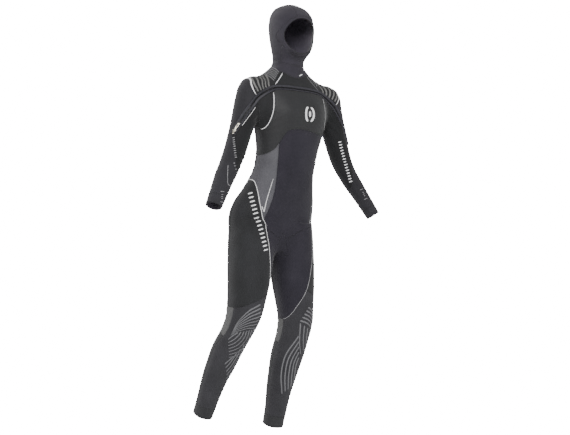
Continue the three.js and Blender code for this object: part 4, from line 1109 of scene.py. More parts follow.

# ---- Sleeves ------------------------------------------------------------------------------
# An outer panel from the shoulder to the wrist and an inner one from the armpit, which meet
# at the zip. A short skin seal ends each sleeve.
sleeve_knit = knit("charcoal_sleeve_jersey", "#2b2a2e", "#313035", "#262529", shine=0.18)
inner_knit = knit("soft_black_jersey", "#1c1c1e", "#212123", "#171719")
for side in SIDES:
    elbow = f"elbow_{side}"
    panel(f"sleeve_outer_{side}", sleeve_knit, elbow,
          [f"sleeve_cap_{side}", f"elbow_panel_{side}", f"forearm_panel_{side}"])
    panel(f"sleeve_inner_{side}", inner_knit, elbow, [f"sleeve_inner_{side}"])
    panel(f"wrist_seal_{side}", sleeve_knit, f"forearm_{side}",
          [f"wrist_seal_{side}"])

# ---- Zip ----------------------------------------------------------------------------------
# A coil zip sewn into a channel between the panels: two woven tapes with rubbered, rounded
# edges, two rows of nylon coil, a dark flap beneath, and metal stops at both ends.
TAPE_PROFILE = [(3.3, -0.9), (4.4, -0.2), (6.0, 0.3), (7.2, 1.0), (8.2, 2.1), (9.3, 2.5),
                (10.3, 2.1), (10.75, 1.0), (10.8, -0.6), (10.8, -3.9), (3.3, -3.9)]
COIL_PITCH = 0.0022
STOP_LENGTH, SLIDER_LENGTH, ZIP_CLEARANCE = 0.004, 0.016, 0.0003
SLIDER_REST = STOP_LENGTH + 2 * ZIP_CLEARANCE + SLIDER_LENGTH / 2


def sweep(name, profile, places, sides, outs, material):
    """A profile of (aside, out) in millimetres carried along a path, with closed ends."""
    rings = np.stack([places + sides * (w * MM) + outs * (d * MM) for w, d in profile], 1)
    return swept(name, [rings], material)


def swept(name, solids, material):
    """Rings of corners joined into closed solids, all in one mesh."""
    places, faces = [], []
    for rings in solids:
        count, corners = rings.shape[:2]
        base = len(places)
        places += rings.reshape(-1, 3).tolist()
        for i in range(count - 1):
            for j in range(corners):
                k = (j + 1) % corners
                a, b = base + i * corners, base + (i + 1) * corners
                faces.append((a + j, a + k, b + k, b + j))
        faces.append(tuple(range(base, base + corners))[::-1])
        faces.append(tuple(range(base + (count - 1) * corners, base + count * corners)))
    mesh = bpy.data.meshes.new(name)
    mesh.from_pydata(places, [], faces)
    work = bmesh.new()
    work.from_mesh(mesh)
    bmesh.ops.recalc_face_normals(work, faces=work.faces)
    bmesh.ops.triangulate(work, faces=[f for f in work.faces if len(f.verts) > 4])
    work.to_mesh(mesh)
    work.free()
    mesh.materials.append(material)
    shade_smooth(mesh)
    return linked(name, mesh)


def woven_tape(name, base, light, pitch=0.0016):
    """Polyester zip tape with a rubber coat: a tight twill that shows as fine slanted ribs."""
    material, tree = new_material(name)
    where = add_node(tree, "ShaderNodeTexCoord").outputs["Object"]
    turned = add_node(tree, "ShaderNodeMapping", {
        "Vector": where, "Rotation": (0.6, 0.5, 0.78)})
    twill = add_node(tree, "ShaderNodeTexWave", {
        "Vector": turned.outputs["Vector"], "Scale": 0.16 / pitch, "Distortion": 1.2,
        "Detail": 2.0})
    colour = two_tones(tree, twill.outputs["Fac"], base, light)
    raised = add_node(tree, "ShaderNodeBump", {
        "Height": twill.outputs["Fac"], "Strength": 0.35, "Distance": 0.0003})
    finish_material(tree, {
        "Base Color": colour, "Roughness": 0.58,
        "Normal": raised.outputs["Normal"], "Specular IOR Level": 0.5})
    return material


def nylon(name, base, light):
    """Moulded nylon: smooth, a little glossy, with faint scuffs that dull it."""
    material, tree = new_material(name)
    where = add_node(tree, "ShaderNodeTexCoord").outputs["Object"]
    scuff = add_node(tree, "ShaderNodeTexNoise", {"Vector": where, "Scale": 260.0, "Detail": 4.0})
    colour = two_tones(tree, scuff.outputs["Fac"], base, light)
    gloss = add_node(tree, "ShaderNodeMapRange", {
        "Value": scuff.outputs["Fac"], "To Min": 0.28, "To Max": 0.5})
    finish_material(tree, {
        "Base Color": colour, "Roughness": gloss.outputs["Result"], "IOR": 1.53})
    return material


def pale_metal(name, base, light):
    """Die-cast zinc alloy with a pale satin plating: bright and brushed."""
    material, tree = new_material(name)
    where = add_node(tree, "ShaderNodeTexCoord").outputs["Object"]
    drawn_out = add_node(tree, "ShaderNodeMapping", {"Vector": where, "Scale": (1.0, 1.0, 0.12)})
    brush = add_node(tree, "ShaderNodeTexNoise", {
        "Vector": drawn_out.outputs["Vector"], "Scale": 2600.0, "Detail": 3.0})
    colour = two_tones(tree, brush.outputs["Fac"], base, light)
    gloss = add_node(tree, "ShaderNodeMapRange", {
        "Value": brush.outputs["Fac"], "To Min": 0.22, "To Max": 0.42})
    raised = add_node(tree, "ShaderNodeBump", {
        "Height": brush.outputs["Fac"], "Strength": 0.12, "Distance": 0.0001})
    finish_material(tree, {
        "Base Color": colour, "Roughness": gloss.outputs["Result"],
        "Metallic": 1.0, "Normal": raised.outputs["Normal"]})
    return material


def stand_in(made, node, body):
    """The piece shows in place of a CAD node and rides on a body."""
    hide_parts(node)
    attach(made, body)


tape_cloth = woven_tape("rubbered_zip_tape", "#2a2930", "#37363d")
coil_nylon = nylon("black_coil_nylon", "#141416", "#222225")
slider_metal = pale_metal("satin_zinc_alloy", "#bdb7a8", "#dcd7ca")
zip_frames = (zip_path, zip_side, zip_out)
for word, way in (("upper", -1), ("lower", 1)):
    profile = [(way * w, d) for w, d in TAPE_PROFILE]
    tape = sweep(f"zip_tape_{word}", profile, *zip_frames, tape_cloth)
    stand_in(tape, f"zip_tape_{word}", "suit")
flap = sweep("zip_underlay", [(-8.4, -6.0), (8.4, -6.0), (8.4, -4.9), (0, -4.4), (-8.4, -4.9)],
             *zip_frames, inner_knit)
stand_in(flap, "zip_underlay", "suit")


def rounded_block(size, bevel, segments=2, centre=(0, 0, 0)):
    """A block with rounded edges, as a bmesh."""
    work = bmesh.new()
    place = Matrix.Translation(centre) @ Matrix.Diagonal((*size, 1))
    bmesh.ops.create_cube(work, size=1, matrix=place)
    bmesh.ops.bevel(work, geom=work.edges[:], offset=bevel, segments=segments, affect="EDGES",
                    profile=0.6)
    return work


def repeat_tree(name):
    """Places an element on every point, turned by the point's own 'out' and 'along'."""
    tree = bpy.data.node_groups.new(name, "GeometryNodeTree")
    face = tree.interface
    face.new_socket("Points", in_out="INPUT", socket_type="NodeSocketGeometry")
    element = face.new_socket("Element", in_out="INPUT", socket_type="NodeSocketObject")
    size = face.new_socket("Element size", in_out="INPUT", socket_type="NodeSocketFloat")
    cover = face.new_socket("Finish", in_out="INPUT", socket_type="NodeSocketMaterial")
    face.new_socket("Geometry", in_out="OUTPUT", socket_type="NodeSocketGeometry")
    given = tree.nodes.new("NodeGroupInput").outputs
    out = add_node(tree, "GeometryNodeInputNamedAttribute", {"Name": "out"},
                   data_type="FLOAT_VECTOR")
    along = add_node(tree, "GeometryNodeInputNamedAttribute", {"Name": "along"},
                     data_type="FLOAT_VECTOR")
    turn = add_node(tree, "FunctionNodeAxesToRotation", {
        "Primary Axis": out.outputs["Attribute"], "Secondary Axis": along.outputs["Attribute"]},
        primary_axis="Z", secondary_axis="X")
    shape = add_node(tree, "GeometryNodeObjectInfo", {"Object": given["Element"]})
    placed = add_node(tree, "GeometryNodeInstanceOnPoints", {
        "Points": given["Points"], "Instance": shape.outputs["Geometry"],
        "Rotation": turn.outputs["Rotation"], "Scale": given["Element size"]})
    real = add_node(tree, "GeometryNodeRealizeInstances", {"Geometry": placed.outputs["Instances"]})
    painted = add_node(tree, "GeometryNodeSetMaterial", {
        "Geometry": real.outputs["Geometry"], "Material": given["Finish"]})
    add_node(tree, "NodeGroupOutput", {"Geometry": painted.outputs["Geometry"]})
    return tree, {"Element": element.identifier, "Element size": size.identifier,
                  "Finish": cover.identifier}


repeats, repeat_inputs = repeat_tree("repeat_on_points")


def repeated(name, element, places, outs, alongs, material, size=1.0):
    """One plain mesh of an element set at each place, z out of the suit and x along."""
    mesh = bpy.data.meshes.new(name)
    mesh.from_pydata(np.asarray(places).tolist(), [], [])
    for word, values in (("out", outs), ("along", alongs)):
        mesh.attributes.new(word, "FLOAT_VECTOR", "POINT").data.foreach_set(
            "vector", np.asarray(values, np.float32).ravel())
    carrier = linked(name, mesh)
    modifier = carrier.modifiers.new("repeat", "NODES")
    modifier.node_group = repeats
    modifier[repeat_inputs["Element"]] = element
    modifier[repeat_inputs["Element size"]] = size
    modifier[repeat_inputs["Finish"]] = material
    bpy.context.view_layer.update()
    ready = carrier.evaluated_get(bpy.context.evaluated_depsgraph_get())
    plain = bpy.data.meshes.new_from_object(ready)
    for word in ("out", "along"):
        if word in plain.attributes:
            plain.attributes.remove(plain.attributes[word])
    plain.materials.clear()
    plain.materials.append(material)
    plain.polygons.foreach_set("material_index", np.zeros(len(plain.polygons), np.int32))
    shade_smooth(plain)
    carrier.modifiers.clear()
    carrier.data = plain
    plain.name = name
    return carrier


def element_object(name, work):
    """A small shape to be repeated; it is removed when its repeats are made."""
    mesh = bpy.data.meshes.new(name)
    work.to_mesh(mesh)
    work.free()
    return linked(name, mesh)


def drop(made):
    bpy.data.objects.remove(made)


zip_length = zip_run[-1]
coil_stops = np.arange(STOP_LENGTH + 0.001, zip_length - STOP_LENGTH - 0.001, COIL_PITCH)


def zip_at(runs, values):
    return np.stack([np.interp(runs, zip_run, values[:, i]) for i in range(3)], 1)


coil = element_object("coil_turn", rounded_block((0.0013, 0.0029, 0.0019), 0.0005))
for word, way, shift in (("upper", -1, 0.0), ("lower", 1, COIL_PITCH / 2)):
    runs = coil_stops + shift
    outs, alongs, sides = (unit(zip_at(runs, v)) for v in (zip_out, zip_along, zip_side))
    places = zip_at(runs, zip_path) + sides * (way * 0.00155) - outs * 0.0014
    row = repeated(f"zip_teeth_{word}", coil, places, outs, alongs, coil_nylon)
    stand_in(row, f"zip_teeth_{word}", "suit")
drop(coil)

# ---- Zip stops, slider and pull -----------------------------------------------------------
# Plated zinc castings. The slider's two plates are joined by a post between the coils; its
# ears hold the pin on which the pull swings. A crimped clip stops the zip at each end.


METAL_SHARP_EDGE = math.radians(38)


def merged(name, works, place, material):
    """One object from several bmesh shapes, carried to its place."""
    mesh = bpy.data.meshes.new(name)
    whole = bmesh.new()
    for work in works:
        part = bpy.data.meshes.new("part")
        work.to_mesh(part)
        work.free()
        whole.from_mesh(part)
        bpy.data.meshes.remove(part)
    bmesh.ops.recalc_face_normals(whole, faces=whole.faces)
    bmesh.ops.triangulate(whole, faces=[f for f in whole.faces if len(f.verts) > 4])
    bmesh.ops.transform(whole, matrix=place, verts=whole.verts)
    whole.to_mesh(mesh)
    whole.free()
    mesh.materials.append(material)
    shade_smooth(mesh, METAL_SHARP_EDGE)
    return linked(name, mesh)


def zip_end_frame(side, distance):
    """A frame on a straight end of the zip: x up the zip, y across it and z outwards."""
    end = zip_ends[side]
    place = end["bottom"] + end["up"] * distance
    across = np.cross(end["out"], end["up"])
    frame_matrix = Matrix.Identity(4)
    for i, axis in enumerate((end["up"], across, end["out"], place)):
        for j in range(3):
            frame_matrix[j][i] = axis[j]
    return frame_matrix


def plate(outline, low, high, bevel, segments=2, holes=()):
    """A flat shape with an outline in millimetres, its rims rounded, as a bmesh."""
    work = bmesh.new()
    rings, *hole_rings = [
        [[work.verts.new((x * MM, y * MM, z * MM)) for x, y in ring] for z in (low, high)]
        for ring in (outline, *holes)]
    count = len(outline)
    for i in range(count):
        j = (i + 1) % count
        work.faces.new((rings[0][i], rings[0][j], rings[1][j], rings[1][i]))
    for low_ring, high_ring in hole_rings:
        for i in range(len(low_ring)):
            j = (i + 1) % len(low_ring)
            work.faces.new((low_ring[j], low_ring[i], high_ring[i], high_ring[j]))
    for k in range(2):
        edges = []
        for ring in [rings[k], *(pair[k] for pair in hole_rings)]:
            for i in range(len(ring)):
                edges.append(work.edges.get((ring[i], ring[(i + 1) % len(ring)])))
        bmesh.ops.triangle_fill(work, use_beauty=True, edges=edges)
    bmesh.ops.recalc_face_normals(work, faces=work.faces)
    rims = [e for e in work.edges if len(e.link_faces) == 2 and e.calc_face_angle(0) > 1.2
            and abs(e.verts[0].co.z - e.verts[1].co.z) < 1e-7]
    if bevel:
        bmesh.ops.bevel(work, geom=rims, offset=bevel * MM, segments=segments, affect="EDGES",
                        profile=0.5)
    return work


def arc(cx, cy, radius, start, stop, steps=12):
    return [(cx + radius * math.cos(a), cy + radius * math.sin(a))
            for a in np.linspace(start, stop, steps)]


def circle(radius, corners=24):
    return arc(0, 0, radius, 0, 2 * math.pi * (corners - 1) / corners, corners)


def rod_across(radius, half_length, x, z, bevel=0.25):
    """A round pin across the zip."""
    work = plate(circle(radius), -half_length, half_length, bevel)
    turn = Matrix.Translation((x * MM, 0, z * MM)) @ Matrix.Rotation(math.pi / 2, 4, "X")
    bmesh.ops.transform(work, matrix=turn, verts=work.verts)
    return work


PLATE_LOW, PLATE_HIGH, PIN_HEIGHT, PIN_RADIUS = 2.1, 3.9, 6.9, 1.1
nose = ([(-8, -3.4), (-5, -3.9), (-1, -4.9)] + arc(2.4, 0, 5.75, -math.pi / 2, math.pi / 2, 17)
        + [(-1, 4.9), (-5, 3.9), (-8, 3.4)])
foot = [(-8, -2.6), (4.8, -2.6), (4.8, 2.6), (-8, 2.6)]


def ear(way):
    """One of the two ears that hold the pin."""
    outline = [(-3.2, PLATE_HIGH - 0.6), (3.2, PLATE_HIGH - 0.6)] + \
        arc(0, PIN_HEIGHT, 2.1, 0, math.pi, 11)
    work = plate(outline, 4.2 if way > 0 else -5.7, 5.7 if way > 0 else -4.2, 0.3)
    turn = Matrix(((1, 0, 0, 0), (0, 0, 1, 0), (0, 1, 0, 0), (0, 0, 0, 1)))
    bmesh.ops.transform(work, matrix=turn, verts=work.verts)
    return work


slider = merged("zip_slider", [
    plate(nose, PLATE_LOW, PLATE_HIGH, 0.55, 3),
    plate([(x * 0.72 - 0.3, y * 0.66) for x, y in nose], PLATE_HIGH - 0.2, PLATE_HIGH + 0.5, 0.3),
    plate(foot, -4.0, -3.0, 0.3),
    plate([(-8, -0.5), (4.8, -0.5), (4.8, 0.5), (-8, 0.5)], -3.8, 2.6, 0),
    ear(-1), ear(1),
    rod_across(PIN_RADIUS, 5.95, 0, PIN_HEIGHT),
], zip_end_frame("right", SLIDER_REST), slider_metal)
stand_in(slider, "zip_slider", "zip_slider_body")

PULL_DROOP = math.radians(6)
quarter = math.pi / 2
tab = ([(2.4, -2.2), (7, -2.6), (12, -3.85), (30.1, -3.85)]
       + arc(30.1, 0, 3.85, -quarter, quarter, 13)
       + [(30.1, 3.85), (12, 3.85), (7, 2.6), (2.4, 2.2)])
tab = [p for i, p in enumerate(tab) if i == 0 or math.dist(p, tab[i - 1]) > 0.05]
slot_hole = (arc(14.5, 0, 1.5, quarter, 3 * quarter, 9)
             + arc(26.5, 0, 1.5, -quarter, quarter, 9))
pull_eye = plate(circle(2.7), -3.8, 3.8, 0.4, 2, [circle(1.4)])
bmesh.ops.transform(pull_eye, matrix=Matrix.Rotation(math.pi / 2, 4, "X"), verts=pull_eye.verts)
rib_blocks = [rounded_block((0.0009, 0.0058, 0.0009), 0.0003, 2, (x * MM, 0, 0.0009))
              for x in (9.0, 10.6, 29.6, 31.2)]
pull_frame = (zip_end_frame("right", SLIDER_REST) @ Matrix.Translation((0, 0, PIN_HEIGHT * MM))
              @ Matrix.Rotation(PULL_DROOP, 4, "Y"))
pull = merged("zip_pull", [plate(tab, -0.9, 0.9, 0.45, 3, [slot_hole]), pull_eye, *rib_blocks],
              pull_frame, slider_metal)
stand_in(pull, "zip_pull", "zip_pull_body")

for side in SIDES:
    clip = merged(f"zip_stop_{side}", [
        rounded_block((0.0038, 0.0060, 0.0030), 0.0007, 3, (0, 0, -0.0013)),
        rounded_block((0.0012, 0.0064, 0.0034), 0.0004, 2, (0, 0, -0.0013)),
    ], zip_end_frame(side, STOP_LENGTH / 2), slider_metal)
    stand_in(clip, f"zip_stop_{side}", "suit")

# ---- Piping -------------------------------------------------------------------------------
# Half-round rubber piping is laid over the seams that shape the front. It's white on the
# shoulders, the bust and the hips, and runs on as a thin grey line down the thighs.


PIPING_STEP = 0.003
PIPING_END_STEPS = 3           # how many steps each end narrows over


def seam_path(first, second, step=PIPING_STEP):
    """The seam where two groups of pieces meet: even places and the way out of the suit."""
    shared = set.intersection(*(
        set(map(tuple, np.sort(open_edges(piece_triangles(*group)), axis=1).tolist()))
        for group in (first, second)))
    beyond = {}
    for a, b in sorted(shared):
        beyond.setdefault(a, []).append(b)
        beyond.setdefault(b, []).append(a)
    chains, seen_before = [], set()
    for start in sorted(beyond, key=lambda k: len(beyond[k])):
        if start in seen_before:
            continue
        chain = [start]
        seen_before.add(start)
        while True:
            onward = [k for k in beyond[chain[-1]] if k not in seen_before]
            if not onward:
                break
            chain.append(onward[0])
            seen_before.add(onward[0])
        chains.append(chain)
    chain = np.array(max(chains, key=len))
    places, outs = worn_points[chain], worn_normals[chain]
    if places[0, 2] < places[-1, 2]:
        places, outs = places[::-1], outs[::-1]
    lengths = np.linalg.norm(np.diff(places, axis=0), axis=1)
    keep = np.concatenate([[True], lengths > 1e-6])
    places, outs = places[keep], outs[keep]
    run = np.concatenate([[0], np.cumsum(np.linalg.norm(np.diff(places, axis=0), axis=1))])
    even = np.linspace(0, run[-1], max(int(round(run[-1] / step)), 3) + 1)
    places, outs = (np.stack([np.interp(even, run, values[:, i]) for i in range(3)], 1)
                    for values in (places, outs))
    for _ in range(4):
        places[1:-1] = (places[:-2] + 2 * places[1:-1] + places[2:]) / 4
        outs[1:-1] = (outs[:-2] + 2 * outs[1:-1] + outs[2:]) / 4
    return places, unit(outs)


PIPING_PROFILE = [(-1.0, -1.6), (-1.0, 0.1), (-0.72, 0.55), (-0.3, 0.78), (0.3, 0.78),
                  (0.72, 0.55), (1.0, 0.1), (1.0, -1.6)]


def ribbon(name, path, outs, half_widths, profile, material):
    """A profile of (share of the half width, millimetres out) swept along a path."""
    along = unit(np.gradient(path, axis=0))
    sides = unit(np.cross(outs, along))
    rings = np.stack([path + sides * (w * half_widths[:, None] * MM) + outs * (d * MM)
                      for w, d in profile], 1)
    return swept(name, [rings], material)


def piping(name, material, body, groups, taper, trim=(0.0, 0.0)):
    """Piping along a seam, by its (shares run, half widths), cut short at its ends."""
    path, outs = seam_path(*groups)
    start, end = (int(length / PIPING_STEP) for length in trim)
    path, outs = path[start:len(path) - end], outs[start:len(outs) - end]
    widths = np.interp(np.linspace(0, 1, len(path)), *taper)
    count = np.arange(len(path))
    ends = np.minimum(count, count[::-1]) / PIPING_END_STEPS
    made = ribbon(name, path, outs, widths * np.clip(ends, 0.35, 1), PIPING_PROFILE, material)
    carry(made, body)


def print_ink(name, base, light, rough=0.45):
    """Silicone print on cloth: opaque, a little glossy, worn thin in specks by rubbing."""
    material, tree = new_material(name)
    where = add_node(tree, "ShaderNodeTexCoord").outputs["Object"]
    wear = add_node(tree, "ShaderNodeTexNoise", {"Vector": where, "Scale": 420.0, "Detail": 4.0})
    shade = add_node(tree, "ShaderNodeMapRange", {
        "Value": wear.outputs["Fac"], "From Min": 0.3, "From Max": 0.6})
    colour = two_tones(tree, shade.outputs["Result"], base, light)
    raised = add_node(tree, "ShaderNodeBump", {
        "Height": wear.outputs["Fac"], "Strength": 0.2, "Distance": 0.0002})
    finish_material(tree, {
        "Base Color": colour, "Roughness": rough,
        "Normal": raised.outputs["Normal"]})
    return material


white_rubber = print_ink("white_piping_rubber", "#ececec", "#fafafa")
soft_white_rubber = print_ink("soft_white_piping_rubber", "#9a9a9b", "#adadae")
grey_rubber = print_ink("grey_piping_rubber", "#6f6f71", "#7f7f81")
LOOKS = {                      # colours, half widths at neck and bust, and the bust's trim
    "right": (white_rubber, white_rubber, 1.7, 1.6, 0.030),
    "left": (soft_white_rubber, grey_rubber, 0.9, 1.0, 0.075),
}
for side, (strong, neck_line, neck_width, bust_width, bust_trim) in LOOKS.items():
    thigh = [f"thigh_outer_{side}", f"knee_panel_{side}"]
    front = [f"side_panel_{side}", "belly_panel", f"thigh_inner_{side}"]
    shoulder, sleeve = [f"shoulder_panel_{side}"], [f"sleeve_outer_{side}"]
    piping(f"neck_piping_{side}", neck_line, "neck", (["yoke_front"], shoulder),
           ((0, 1), (neck_width, neck_width)), trim=(0.004, 0.004))
    piping(f"bust_piping_{side}", strong, "suit", (["chest_panel"], [f"underarm_panel_{side}"]),
           ((0, 1), (bust_width, bust_width)), trim=(0.006, bust_trim))
    piping(f"armhole_piping_{side}", white_rubber, "suit", (shoulder, sleeve),
           ((0, 0.12, 0.45, 0.7, 1), (1.4, 2.2, 4.0, 2.4, 1.0)))
    piping(f"hip_piping_{side}", strong, f"knee_{side}", (front, thigh),
           ((0, 0.3, 0.45, 1), (1.4, 1.6, 1.0, 0.9)))

# ---- Printed lines ------------------------------------------------------------------------
# Raised silicone ink: fans of stripes on the shoulders and down the knees, plain bars where
# lettering would be, and a plain mark on the chest.
INK_SHARES = np.array([-1, -0.75, 0, 0.75, 1])
INK_HEIGHT = np.array([0.1, 0.5, 0.5, 0.5, 0.1]) * MM     # above the cloth, across a line
INK_ROOT = 0.8 * MM


def lines_between(first, last, count):
    """Lines spread evenly between a first and a last one that have as many guide places."""
    first, last = np.array(first, float), np.array(last, float)
    return [first + (last - first) * t for t in np.linspace(0, 1, count)]


def on_body(guide):
    """Guide places given as (x, y, height) in millimetres."""
    return np.array([(x * MM, y * MM, (h - WAIST) * MM) for x, y, h in guide])


def on_leg(side, guide):
    """Guide places given as (degrees from the front towards the outside, height)."""
    places = []
    for degrees, h in guide:
        z = (h - WAIST) * MM
        x, y, width, front, _ = legs[side].at(np.array(z))
        turn = math.radians(degrees)
        places.append((x + SIDES[side] * width * math.sin(turn), y - front * math.cos(turn), z))
    return np.array(places)


def ink_line(path, start_width, end_width):
    """Rings of one printed line that lies on the cloth, with rounded ends."""
    path = curve_through(path) if len(path) > 2 else path
    path, _ = resampled(path, 0.003)
    path, _ = resampled(onto_form(path, 8)[0], 0.0025)
    path, outs = onto_form(path, 2)
    run = np.concatenate([[0], np.cumsum(np.linalg.norm(np.diff(path, axis=0), axis=1))])
    half = (start_width + (end_width - start_width) * run / run[-1]) * MM
    to_end = np.minimum(run, run[-1] - run)
    half = half * np.sqrt(np.clip(to_end / half, 0.12, 1))
    sides = unit(np.cross(outs, unit(np.gradient(path, axis=0))))
    spread = path[:, None] + sides[:, None] * half[:, None, None] * INK_SHARES[:, None]
    places, ways = onto_form(spread.reshape(-1, 3), 2)
    worn = soft_folds(places, ways)[:, None]
    heights = np.tile(INK_HEIGHT, len(path))[:, None]
    top = (places + ways * (worn + heights)).reshape(spread.shape)
    bottom = (places + ways * (worn - INK_ROOT)).reshape(spread.shape)
    return np.concatenate([top, bottom[:, ::-1]], 1)


def printed(name, lines, widths, ink, body):
    carry(swept(name, [ink_line(line, *widths) for line in lines], ink), body)


def stamped(centre, direction, shapes):
    """Flat shapes of (aside, ahead) in millimetres, laid at a place and turned to face on."""
    middle, out = onto_form(on_body([centre]), 8)
    ahead_way = np.array(direction, float)
    ahead_way = unit(ahead_way - (ahead_way @ out[0]) * out[0])
    aside_way = np.cross(ahead_way, out[0])
    return [middle[0] + np.array([aside_way * u * MM + ahead_way * v * MM for u, v in shape])
            for shape in shapes]


def bars(start, end, count, height):
    """Plain bars that stand side by side between two places."""
    start, end = np.array(start, float), np.array(end, float)
    made = []
    for t in np.linspace(0, 1, count):
        made += stamped(start + (end - start) * t, end - start, [[(-height / 2, 0), (height / 2, 0)]])
    return made


stripe_ink = print_ink("stripe_ink", "#646462", "#71716f")
knee_ink = print_ink("knee_ink", "#68686b", "#747477")
white_ink = print_ink("white_ink", "#f0f0f0", "#fdfdfd")
faint_ink = print_ink("faint_white_ink", "#8f8f91", "#a0a0a2")
SHOULDER_STRIPES = ([(-178, -12, 1325), (-184, -55, 1310), (-185, -82, 1288), (-172, -91, 1262)],
                    [(-114, -40, 1329), (-117, -63, 1315), (-122, -78, 1298), (-121, -87, 1285)])
SHOULDER_LINES = ([(-72, 12, 1364), (-70, -20, 1362), (-67, -56, 1345)],
                  [(-116, 0, 1340), (-113, -32, 1334), (-95, -73, 1311)])
KNEE_FAN = {"right": ([(-16, 479), (22, 452), (46, 414), (50, 384)],
                      [(-50, 394), (2, 386), (35, 374), (50, 356)], 7),
            "left": ([(12, 474), (28, 464), (46, 440), (60, 408)],
                     [(-20, 424), (10, 414), (35, 397), (58, 368)], 5)}
KNEE_SWEEP = {"right": ([(31, 370), (38, 361), (45, 350), (50, 339)],
                        [(-28, 384), (-46, 335), (-34, 290), (16, 268)], 7),
              "left": ([(34, 388), (38, 368), (43, 350), (48, 332)],
                       [(-18, 414), (-12, 375), (-2, 335), (18, 292)], 4)}
SHIN_LINES = {"right": ([(-30, 340), (-44, 288), (-41, 230), (-26, 180)],
                        [(0, 268), (8, 260), (15, 250), (21, 241)]),
              "left": ([(-14, 363), (-41, 288), (-41, 211), (-18, 131)],
                       [(14, 278), (12, 245), (22, 205), (38, 165)])}
for side, way in SIDES.items():
    turn_over = np.array([-way, 1, 1])
    stripes = [on_body(line * turn_over) for line in lines_between(*SHOULDER_STRIPES, 5)]
    printed(f"shoulder_stripes_{side}", stripes, (3.8, 3.2), stripe_ink, "neck")
    lines = [on_body(line * turn_over) for line in lines_between(*SHOULDER_LINES, 6)]
    printed(f"shoulder_lines_{side}", lines, (1.1, 1.1), faint_ink, "neck")
    knee = f"knee_{side}"
    fan = [on_leg(side, line) for line in lines_between(*KNEE_FAN[side])]
    printed(f"knee_fan_{side}", fan, (3.2, 0.8), knee_ink, knee)
    sweep_lines = [on_leg(side, line) for line in lines_between(*KNEE_SWEEP[side])]
    printed(f"knee_sweep_{side}", sweep_lines, (2.8, 1.6), knee_ink, knee)
    shin = [on_leg(side, line) for line in lines_between(*SHIN_LINES[side], 5)]
    printed(f"shin_lines_{side}", shin, (2.8, 2.2), knee_ink, knee)

MARK_HALF_SIZE, MARK_GAP = (17, 30), 0.35
mark = [[(MARK_HALF_SIZE[0] * math.sin(a), MARK_HALF_SIZE[1] * math.cos(a))
         for a in np.linspace(start + MARK_GAP, start + math.pi - MARK_GAP, 9)]
        for start in (0, math.pi)] + [[(0, -11), (0, 11)]]
printed("chest_mark", stamped((25, -150, 1198), (0, 0, 1), mark), (4.2, 4.2), white_ink, "suit")
printed("thigh_bars", bars((-141, -38, 888), (-79, -76, 682), 15, 20), (2.7, 2.7), white_ink,
        "knee_right")
printed("forearm_bars_left", bars((209, -92, 1111), (262, -109, 964), 15, 13), (2.2, 2.2), white_ink,
        "elbow_left")
printed("sleeve_bars_right", bars((-253, -76, 1084), (-253, -100, 1012), 10, 9)
        + bars((-261, -105, 990), (-254, -104, 945), 5, 7), (1.4, 1.4), faint_ink, "elbow_right")
printed("hip_check", [on_body([(-81, -94, 947), (-87, -75, 880), (-88, -60, 822)]),
                      on_body([(-88, -60, 822), (-100, -62, 842)])], (0.8, 1.8), white_ink, "suit")
printed("neck_dash", [on_body([(33, -64, 1351), (16, -70, 1342)])], (2.0, 2.0), white_ink, "neck")
printed("sleeve_edge_line", [on_body([(-178, -91, 1204), (-204, -89, 1166), (-226, -83, 1130)])],
        (0.9, 0.9), white_ink, "suit")
printed("forearm_loop", [on_body([(-283, -102, 981), (-292, -118, 940), (-295, -131, 912),
                                  (-278, -128, 906)])], (0.9, 0.9), faint_ink, "elbow_right")
for side, centre, down in (("right", (-323, -145, 865), (-0.1, -0.3, -1)),
                           ("left", (312, -131, 920), (0.45, -0.2, -1))):
    cuff = [[(-8, -20), (8, -20)], [(-8, 20), (8, 20)],
            [(-4, -7), (4, -7)], [(-4, 0), (4, 0)], [(-4, 7), (4, 7)]]
    printed(f"cuff_mark_{side}", stamped(centre, down, cuff), (1.1, 1.1), faint_ink,
            f"forearm_{side}")

# ---- Stitches -----------------------------------------------------------------------------
# The seams are glued and then sewn on both sides with a flat nylon thread. Real stitches are
# about 2.5 mm apart; they are drawn at nearly twice that, a row each side of every seam.
STITCH_SPACING, STITCH_ASIDE, STITCH_HEIGHT = 0.0045, 0.0030, 0.00012
thread_nylon = nylon("flat_nylon_thread", "#1b1b1d", "#2a2a2d")
stitch = element_object("stitch", rounded_block((0.0027, 0.0006, 0.0004), 0.00015, 1))


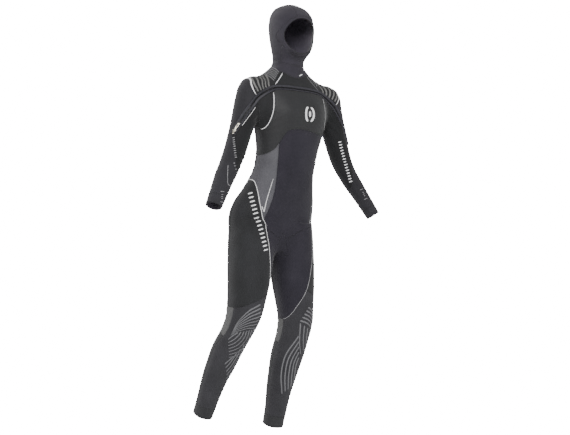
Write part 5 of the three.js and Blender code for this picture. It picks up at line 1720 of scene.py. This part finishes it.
def stitch_rows(pairs):
    """Places, ways out and ways along for a row of stitches on each side of every seam."""
    rows = [], [], []
    for first, second in pairs:
        path, outs = seam_path(first, second, STITCH_SPACING)
        along = unit(np.gradient(path, axis=0))
        sides = unit(np.cross(outs, along))
        for way in (-1, 1):
            places, ways = onto_form(path + sides * way * STITCH_ASIDE, 2)
            worn = soft_folds(places, ways)[:, None]
            rows[0].append((places + ways * (worn + STITCH_HEIGHT))[1:-1])
            rows[1].append(ways[1:-1])
            rows[2].append(along[1:-1])
    return [np.vstack(row) for row in rows]


SEAM_GROUPS = {
    "neck": [(["yoke_back"], ["neck_collar"]), (["yoke_front"], ["neck_collar"]),
             (["yoke_back"], ["upper_back_panel"])],
    "hood": [(["hood_side_right"], ["hood_centre_panel"]),
             (["hood_side_left"], ["hood_centre_panel"]),
             (["hood_side_right"], ["hood_chin_panel"]), (["hood_side_left"], ["hood_chin_panel"]),
             (["face_seal"], ["hood_side_right", "hood_side_left", "hood_chin_panel",
                              "hood_centre_panel"])],
    "suit": [(["chest_panel"], ["belly_panel", "side_panel_right"]),
             (["upper_back_panel"], ["lower_back_panel"]),
             (["lower_back_panel"], ["seat_panel"])],
}
for side in SIDES:
    shoulder, calf = [f"shoulder_panel_{side}"], [f"calf_panel_{side}"]
    thigh, hamstring = [f"thigh_outer_{side}"], [f"hamstring_panel_{side}"]
    inner, knee_front = [f"thigh_inner_{side}"], [f"knee_panel_{side}"]
    sleeve, sleeve_in = [f"sleeve_outer_{side}"], [f"sleeve_inner_{side}"]
    strip, waist = [f"knee_back_{side}"], [f"side_panel_{side}"]
    SEAM_GROUPS["neck"] += [(shoulder, ["neck_collar"]), (shoulder, ["yoke_back"]),
                            (shoulder, ["upper_back_panel"])]
    SEAM_GROUPS["suit"] += [(waist, ["belly_panel"]), (waist, ["lower_back_panel"]),
                            (sleeve_in, [f"underarm_panel_{side}", "upper_back_panel"])]
    SEAM_GROUPS[f"elbow_{side}"] = [(sleeve, sleeve_in), (sleeve, [f"wrist_seal_{side}"])]
    SEAM_GROUPS[f"knee_{side}"] = [
        (thigh, knee_front), (thigh, hamstring), (hamstring, inner), (hamstring, ["seat_panel"]),
        (thigh, ["seat_panel"]), (strip, knee_front), (strip, calf), (calf, knee_front),
        (strip, hamstring), (inner, ["belly_panel"]), ([f"ankle_seal_{side}"], knee_front + calf)]
for body, pairs in SEAM_GROUPS.items():
    sewn = repeated(f"stitches_{body}", stitch, *stitch_rows(pairs), thread_nylon)
    carry(sewn, body)
drop(stitch)
